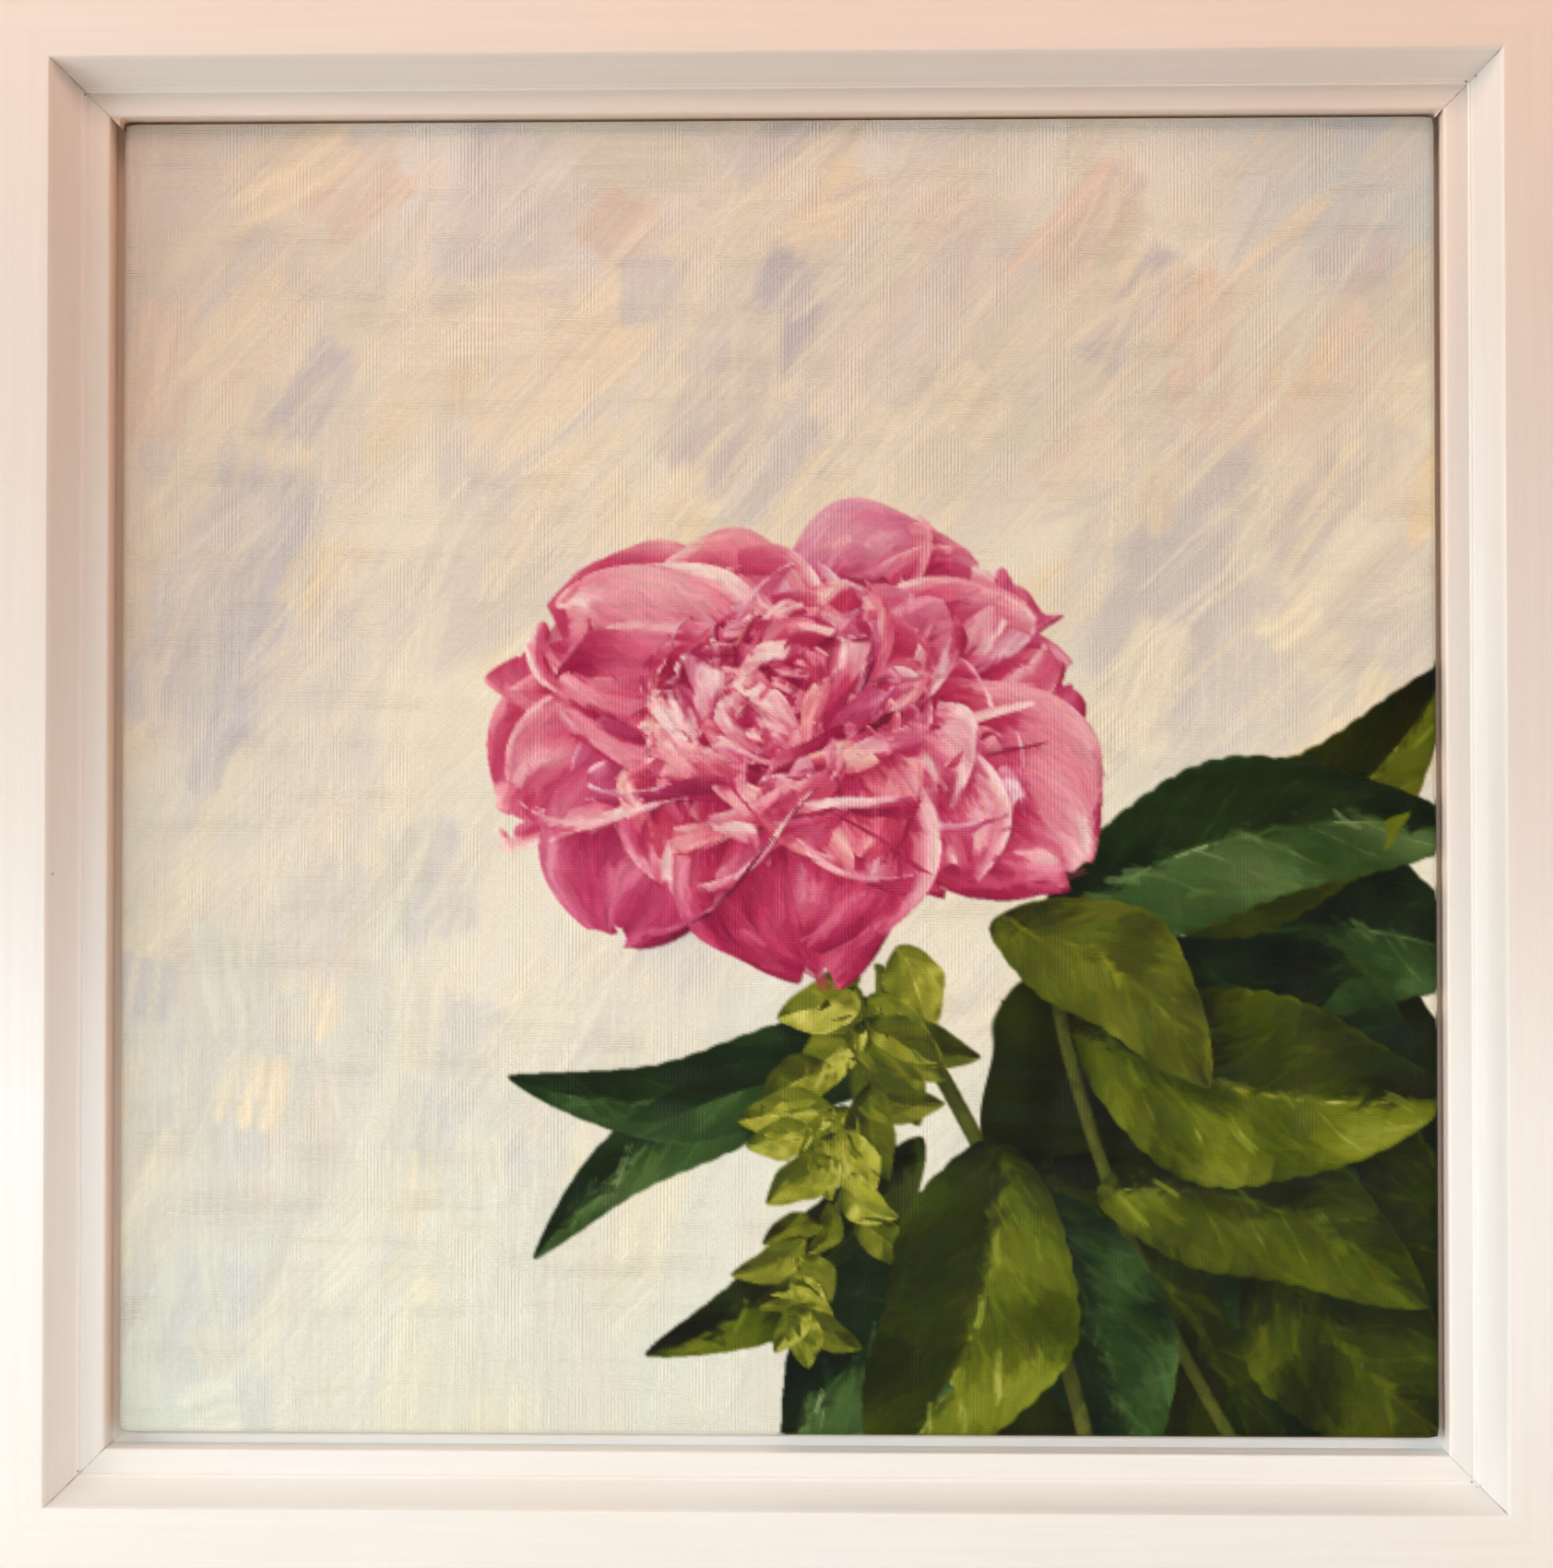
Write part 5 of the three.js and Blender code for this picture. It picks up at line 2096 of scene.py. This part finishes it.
@dataclass
class StretchedCanvas:
    """The painting: bars, keys, cloth, staples, and the film of paint in four quarters.

    The rings are the cloth's rows on the front bend, the side, the back bend and the flap.
    """

    cloth_cells: int = 124
    rings: tuple[int, ...] = (6, 7, 6, 12)
    flap: float = 126.0 * MM
    thickness: float = 0.6 * MM
    fold: float = 0.4 * MM
    film: float = 0.10 * MM
    film_depth: float = 0.45 * MM
    easel_cells: int = 620
    painted: float = 152.3 * MM

    def __post_init__(self) -> None:
        """Takes the wrap's sizes from the fixed model's canvas."""
        low, high = cad_box("canvas")
        middle = (low + high) / 2
        half = (high[0] - low[0]) / 2
        self.wrap = Wrap(half, high[1] - low[1] - self.fold, (middle[0], middle[2]), low[1])

    def paint_cloth(self, easel: Easel, run: Array) -> dict[str, Array]:
        """What the brush left on the cloth: its colours at the edge, fading down the sides.

        Args:
            easel: the finished picture.
            run: places along the cloth from its centre.

        Returns:
            The cloth's marks.
        """
        near = np.clip(run, -easel.half + easel.pitch, easel.half - easel.pitch)
        far = np.abs(run).max(axis=1)
        daub = 1 - smoothstep(self.wrap.half + 0.6 * MM, self.wrap.half + 4.5 * MM, far)
        return {"paint": linear(easel.colour[easel.cell(near)]), "daub": daub}

    def cloth(self, easel: Easel, primed: Material, raw: Material) -> None:
        """The cloth: front, rounded edges, sides and flaps, folded over at the corners.

        On the flaps the cloth drawn together at each corner lies as a second layer: a step along
        the corner's diagonal, which fades towards the next bar.

        Args:
            easel: the finished picture.
            primed: the finish outside.
            raw: the finish inside.
        """
        wrap = self.wrap
        flat, side = wrap.half - wrap.edge, wrap.depth - 2 * wrap.edge
        bend = wrap.edge * math.pi / 2
        back = flat + 2 * bend + side
        starts = (flat, flat + bend, flat + bend + side, back)
        spans = (bend, side, bend, flat - self.flap)
        runs = np.concatenate(
            [
                start + span * np.arange(1, count + 1) / count
                for start, span, count in zip(starts, spans, self.rings)
            ]
        )
        surface = wrap.sheet(self.cloth_cells, runs)
        across, up = (surface.points[:, i] - c for i, c in ((0, wrap.centre[0]), (2, wrap.centre[1])))
        on_flap = smoothstep(back - 0.5 * bend, back + 0.5 * MM, np.abs(surface.flow).max(axis=1))
        past = np.abs(up) - np.abs(across)
        layer = smoothstep(-0.8 * MM, 0.4 * MM, past) * (1 - smoothstep(9 * MM, 24 * MM, past))
        surface.points[:, 1] += layer * on_flap * self.fold
        surface.points[:, 1] += wavy(surface.flow, np.random.default_rng(3), 30 * MM) * 0.06 * MM * on_flap
        surface.marks = self.paint_cloth(easel, surface.flow)
        piece = surface.outward().build("primed_cloth", primed, raw, crease=60)
        wall = piece.modifiers.new("thickness", "SOLIDIFY")
        wall.thickness, wall.offset = self.thickness, -1
        wall.material_offset, wall.material_offset_rim = 1, 1
        baked(piece, 60)
        dress(piece, "painted_canvas", "canvas")

    def film_quarters(self, easel: Easel, oil: Material) -> None:
        """The film of paint: a height for each cell, closed behind by a flat face in the cloth.

        The paint thins out over its last millimetre. Each quarter keeps the slope of the whole
        along its cut edges.

        Args:
            easel: the finished picture.
            oil: its finish.
        """
        colour, height, heading = easel.halved()
        count = len(colour)
        line = (np.arange(count) + 0.5) / count * 2 * easel.half - easel.half
        places = np.stack(np.meshgrid(line, line, indexing="ij"), axis=-1)
        inset = line[-1] - np.abs(places).max(axis=-1)
        lift = (self.film + np.clip(height, -0.05, 1.2) * MM) * smoothstep(-0.2 * MM, 1.2 * MM, inset)
        lift = np.where(inset < 0.1 * MM, -0.05 * MM, lift)
        points = self.wrap.lay(places, lift)
        slopes = np.gradient(points, axis=(0, 1))
        normals = unit(np.cross(slopes[0], slopes[1]))
        tints = linear(colour)
        middle = count // 2
        halves = {"left": slice(0, middle + 1), "right": slice(middle, count)}
        for row, up in (("lower", slice(0, middle + 1)), ("upper", slice(middle, count))):
            for column, across in halves.items():
                box = (across, up)
                quarter = self.closed_film(points[box], places[box], tints[box], heading[box])
                piece = quarter.build(f"paint_film_{row}_{column}", oil, crease=180)
                facing = np.tile((0.0, 1.0, 0.0), (len(quarter.points), 1))
                front = normals[box].reshape(-1, 3)
                facing[: len(front)] = front
                piece.data.normals_split_custom_set_from_vertices(facing.tolist())
                dress(piece, "painted_canvas")

    def closed_film(self, points: Array, places: Array, tints: Array, heading: Array) -> Surface:
        """Closes one part of the film with walls and a flat back.

        Args:
            points: rows by columns of its front.
            places: each point's place on the picture.
            tints: their linear colours.
            heading: the brush's heading at each.

        Returns:
            A closed surface.
        """
        rows, columns = points.shape[:2]
        rim = grid_rim(rows, columns)
        front = points.reshape(-1, 3)
        behind = front[rim].copy()
        behind[:, 1] = self.wrap.face + self.film_depth
        below = len(front) + np.arange(len(rim))
        walls = np.stack([rim, below, np.roll(below, -1), np.roll(rim, -1)], axis=-1)
        turn = np.concatenate([heading.reshape(-1, 2), np.zeros((len(rim), 2))])
        tint = tints.reshape(-1, 3)
        return Surface(
            np.concatenate([front, behind]),
            np.concatenate([grid_quads(rows, columns), walls]),
            [below[::-1]],
            np.concatenate([places.reshape(-1, 2), places.reshape(-1, 2)[rim]]),
            {"paint": np.concatenate([tint, tint[rim]]), "heading": np.c_[turn, np.zeros(len(turn))]},
        ).outward()

    def staple(self, node: str, turns: int) -> Surface:
        """A wire staple: two legs and a crown with bent shoulders, swept round one line.

        Args:
            node: the CAD node.
            turns: quarter turns of its side from the top.

        Returns:
            A closed surface.
        """
        low, high = (turned(corner, 4 - turns) for corner in cad_box(node))
        low, high = np.minimum(low, high), np.maximum(low, high)
        middle, thick, wide = (low + high) / 2, 0.3 * MM, (high[2] - low[2]) / 2
        left, right, top = low[0] + thick, high[0] - thick, high[1] - thick
        shoulder = 0.5 * MM
        start = arc((left + shoulder, top - shoulder), shoulder, 180, 90, 5)
        end = arc((right - shoulder, top - shoulder), shoulder, 90, 0, 5)
        line = np.concatenate([[(left, low[1])], start, end, [(right, low[1])]])
        path = np.c_[line[:, 0], line[:, 1], np.full(len(line), middle[2])]
        corners = [(s * wide, t * thick, 0.12 * MM) for s, t in ((1, 1), (-1, 1), (-1, -1), (1, -1))]
        wire = swept(path, np.array((0.0, 0.0, 1.0)), rounded(corners, 2))
        wire.points = turned(wire.points, turns)
        return wire

    def build(self, finishes: dict[str, Material]) -> None:
        """Makes every piece of the painting.

        Args:
            finishes: every finish, by its short name.
        """
        for turns, side in enumerate(SIDES):
            bar = eased_copy(f"stretcher_bar_{side}", f"pine_bar_{side}", 0.5 * MM, finishes["pine"], turns)
            dress(bar, "stretcher_pine", f"stretcher_bar_{side}")
            for index in range(1, 5):
                node = f"staple_{side}_{index}"
                wire = self.staple(node, turns).build(f"wire_{node}", finishes["staple"])
                dress(wire, "staple_steel", node)
        for turns, corner in enumerate(CORNERS):
            for half in "ab":
                node = f"corner_key_{corner}_{half}"
                key = eased_copy(node, f"beech_{node}", 0.25 * MM, finishes["beech"], turns + (half == "b"))
                dress(key, "key_beech", node)
        easel = FlowerStudy(Easel(self.painted, self.easel_cells)).paint()
        self.cloth(easel, finishes["primed"], finishes["cotton"])
        self.film_quarters(easel, finishes["oil"])


# ---------- fittings


@dataclass
class Fittings:
    """What holds the picture in and hangs it up: screws, hanger, its nails and bumpers.

    The cross is a screw's recess: half an arm's length and half its width. The nail and the
    pad are profiles of (radius, distance back) in millimetres.
    """

    cross: tuple[float, float] = (2.1 * MM, 0.35 * MM)
    cross_depth: float = 1.1 * MM
    nail: tuple[tuple[float, float], ...] = (
        (0, 0), (0.2, 0.5), (0.7, 1.6), (0.7, 11.4), (1.6, 11.4), (1.7, 11.5), (1.7, 11.8), (1.3, 12), (0, 12)
    )
    pad: tuple[tuple[float, float], ...] = (
        (0, 0), (4.6, 0), (5.0, 0.2), (5.0, 1.2), (4.75, 1.9), (4.1, 2.4), (2.6, 2.65), (0, 2.7)
    )

    def turned_part(self, node: str, rows: Array, segments: int = 40) -> Surface:
        """A turned part in a node's place.

        Args:
            node: the CAD node, whose box gives the line that it turns about.
            rows: (radius, distance back from its front) of its profile, in metres.
            segments: steps round it.

        Returns:
            A closed surface.
        """
        low, high = cad_box(node)
        middle = (low + high) / 2
        centre = np.array((middle[0], low[1], middle[2]))
        return revolved(rows, centre, segments)

    def screw_rows(self) -> Array:
        """A wood screw's profile: point, rings of thread, shank and a low domed head.

        Returns:
            (radius, distance from the point) rows in metres.
        """
        thread = [(1.15 + 0.45 * (i % 2), 2.2 + 0.55 * i) for i in range(16)]
        head = arc((0, 0), 1, 90, 0, 8)[::-1]
        dome = [(4.0 * x, 15.35 + 1.35 * y) for x, y in head]
        rows = [(0, 0), (0.25, 0.2), *thread, (1.6, 11.4), (1.6, 15.0), (3.9, 15.0), (4.0, 15.12), *dome]
        return np.array(rows) * MM

    def screw(self, node: str, steel: Material) -> None:
        """A screw with a cross recess in its head.

        Args:
            node: the CAD node.
            steel: its finish.
        """
        low, high = cad_box(node)
        middle = (low + high) / 2
        piece = self.turned_part(node, self.screw_rows(), 32).build(f"turned_{node}", steel)
        spin = math.radians(17 + 61 * (hash_of(node) % 7))
        arms = []
        for turn in (0, math.pi / 2):
            corners = np.array([(1, 1), (-1, 1), (-1, -1), (1, -1)]) * self.cross
            cosine, sine = math.cos(spin + turn), math.sin(spin + turn)
            plan = corners @ np.array(((cosine, sine), (-sine, cosine))) + middle[[0, 2]]
            arms.append(extruded(plan, high[1] - self.cross_depth, high[1] + MM))
        for arm in arms:
            carved(piece, arm)
        dress(piece, "zinc_screw", node)

    def build(self, finishes: dict[str, Material]) -> None:
        """Makes every fitting.

        Args:
            finishes: every finish, by its short name.
        """
        for side in SIDES:
            for index in (1, 2):
                self.screw(f"canvas_screw_{side}_{index}", finishes["zinc"])
        hanger = eased_copy("sawtooth_hanger", "brass_hanger", 0.12 * MM, finishes["brass"], 0)
        dress(hanger, "hanger_brass", "sawtooth_hanger")
        for end in ("left", "right"):
            for node, name, rows, key, slot in (
                ("hanger_nail", "round_nail", self.nail, "steel", "nail_steel"),
                ("wall_bumper", "rubber_bumper", self.pad, "rubber", "bumper_rubber"),
            ):
                part = self.turned_part(f"{node}_{end}", np.array(rows) * MM)
                dress(part.build(f"{name}_{end}", finishes[key]), slot, f"{node}_{end}")


def hash_of(name: str) -> int:
    """A small steady number from a name, so that screw heads stand at different turns."""
    return sum(ord(letter) * (place + 3) for place, letter in enumerate(name))


# ---------- the studio


@dataclass(frozen=True)
class Lamp:
    """A soft rectangular light that looks at the picture, or at the height given."""

    name: str
    place: tuple[float, float, float]
    size: tuple[float, float]
    watts: float
    colour: Colour
    height: float | None = None


@dataclass
class Studio:
    """A pale floor, a surround that is brighter behind, soft lamps and a camera.

    The strongest light comes from a window on the left, cool light from low in front and
    warm light from the right and from above. Two lamps stand behind.
    """

    eye: tuple[float, float, float] = (0.0198, -0.741, -0.1956)
    aim: tuple[float, float, float] = (0.0011, -0.041, -0.18125)
    lens: float = 70.81
    surround: Colour = (250, 250, 252)
    surround_strength: tuple[float, float] = (0.05, 0.2)
    backdrop: float = 0.7
    lamps: tuple[Lamp, ...] = (
        Lamp("window", (-1.5, -0.62, -0.15), (0.8, 0.5), 10.7, (250, 252, 251)),
        Lamp("low_left", (-0.8, -0.6, -0.30), (0.3, 0.1), 1.0, (248, 248, 246)),
        Lamp("low_front", (0.0, -0.22, -0.27), (1.0, 0.03), 0.48, (224, 244, 252), -0.36),
        Lamp("low_right", (0.8, -0.7, -0.30), (0.3, 0.1), 0.9, (255, 206, 160)),
        Lamp("warm_side", (0.9, -0.8, -0.15), (0.5, 0.5), 1.15, (255, 136, 60)),
        Lamp("top", (0.0, -0.42, 0.42), (1.0, 0.25), 2.1, (250, 241, 228)),
        Lamp("top_left", (-0.6, -0.55, 0.42), (0.6, 0.3), 0.5, (255, 225, 150)),
        Lamp("warm_lintel", (0.0, -0.16, 0.12), (0.9, 0.08), 0.29, (255, 130, 40)),
        Lamp("behind_left", (-0.7, 0.8, 0.15), (0.6, 0.5), 7.0, (255, 250, 244)),
        Lamp("behind_right", (0.8, 0.7, -0.05), (0.5, 0.4), 3.5, (244, 250, 255)),
    )

    def floor(self) -> None:
        """A wide floor just under the frame, pale and slightly uneven."""
        line = np.linspace(-2, 2, 41)
        x, y = np.meshgrid(line, line, indexing="ij")
        points = np.stack([x, y, np.full_like(x, CAD_BOX[0][2])], axis=-1).reshape(-1, 3)
        finish = Finish("pale floor", Specular_IOR_Level=0.2, Roughness=0.8)
        w = finish.wiring
        finish.vary(Base_Color=w.mix(w.noise(w.place(), 3, 3), rgba((228, 224, 219)), rgba((236, 233, 229))))
        Surface(points, grid_quads(41, 41)[:, ::-1]).build("floor", finish.material)

    def aimed(self, thing: Piece, place: tuple, aim: tuple) -> None:
        """Puts a camera or light in place and turns it to look at a point.

        Args:
            thing: the camera or light.
            place: where it stands.
            aim: what it looks at.
        """
        thing.location = place
        thing.rotation_euler = (Vector(aim) - Vector(place)).to_track_quat("-Z", "Y").to_euler()
        bpy.context.scene.collection.objects.link(thing)

    def build(self) -> None:
        """Makes the surroundings."""
        self.floor()
        scene = bpy.context.scene
        for lamp in self.lamps:
            light = bpy.data.lights.new(lamp.name, "AREA")
            light.shape, light.energy = "RECTANGLE", lamp.watts
            light.color = linear(np.array(lamp.colour) / 255)
            light.size, light.size_y = lamp.size
            holder = bpy.data.objects.new(lamp.name, light)
            holder.visible_camera = False
            height = self.aim[2] if lamp.height is None else lamp.height
            self.aimed(holder, lamp.place, (*self.aim[:2], height))
        world = bpy.data.worlds.new("surround")
        world.use_nodes = True
        back = world.node_tree.nodes["Background"]
        back.inputs["Color"].default_value = rgba(self.surround)
        w = Wiring(world.node_tree)
        _, away, _ = w.parts(w.node("TexCoord").outputs["Generated"])
        front, behind = self.surround_strength
        lit = w.math("ADD", w.rise(away, -0.1, 0.5, behind - front), front)
        seen = w.node("LightPath").outputs["Is Camera Ray"]
        w.put(back.inputs["Strength"], w.math("MAXIMUM", lit, w.times(seen, self.backdrop)))
        scene.world = world
        view = bpy.data.cameras.new("view")
        view.lens, view.sensor_width, view.sensor_fit = self.lens, 36, "AUTO"
        camera = bpy.data.objects.new("view", view)
        self.aimed(camera, self.eye, self.aim)
        scene.camera = camera
        scene.view_settings.view_transform = "Standard"


def main() -> None:
    """Builds the frame, the painting, its fittings and the studio."""
    logging.basicConfig(level=logging.INFO, format="%(name)s: %(message)s")
    body = FloatFrame()
    picture = StretchedCanvas()
    metal = {
        "steel": Metal("nail steel", (176, 176, 178), (120, 112, 104), 0.32),
        "staple": Metal("staple steel", (198, 199, 202), (150, 146, 140), 0.28),
        "zinc": Metal("zinc", (206, 204, 196), (168, 160, 136), 0.3),
        "brass": Metal("brass", (206, 172, 100), (186, 150, 84), 0.3),
    }
    finishes = {key: kind.material() for key, kind in metal.items()}
    finishes |= {
        "paint": WhitePaint(body.middle, (body.cove, body.arris), body.well, body.back).material(),
        "pine": BareWood("pine", (228, 200, 154), (206, 170, 118), 1500.0).material(),
        "beech": BareWood("beech", (214, 176, 134), (178, 132, 92), 1500.0).material(),
        "primed": BareCloth("primed canvas", (236, 233, 226), (220, 214, 203), True).material(),
        "cotton": BareCloth("raw cotton", (222, 209, 186), (214, 200, 175)).material(),
        "oil": OilPaint().material(),
        "rubber": Rubber().material(),
    }
    body.build(finishes["paint"], finishes["steel"])
    picture.build(finishes)
    Fittings().build(finishes)
    Studio().build()


if __name__ == "__main__":
    main()
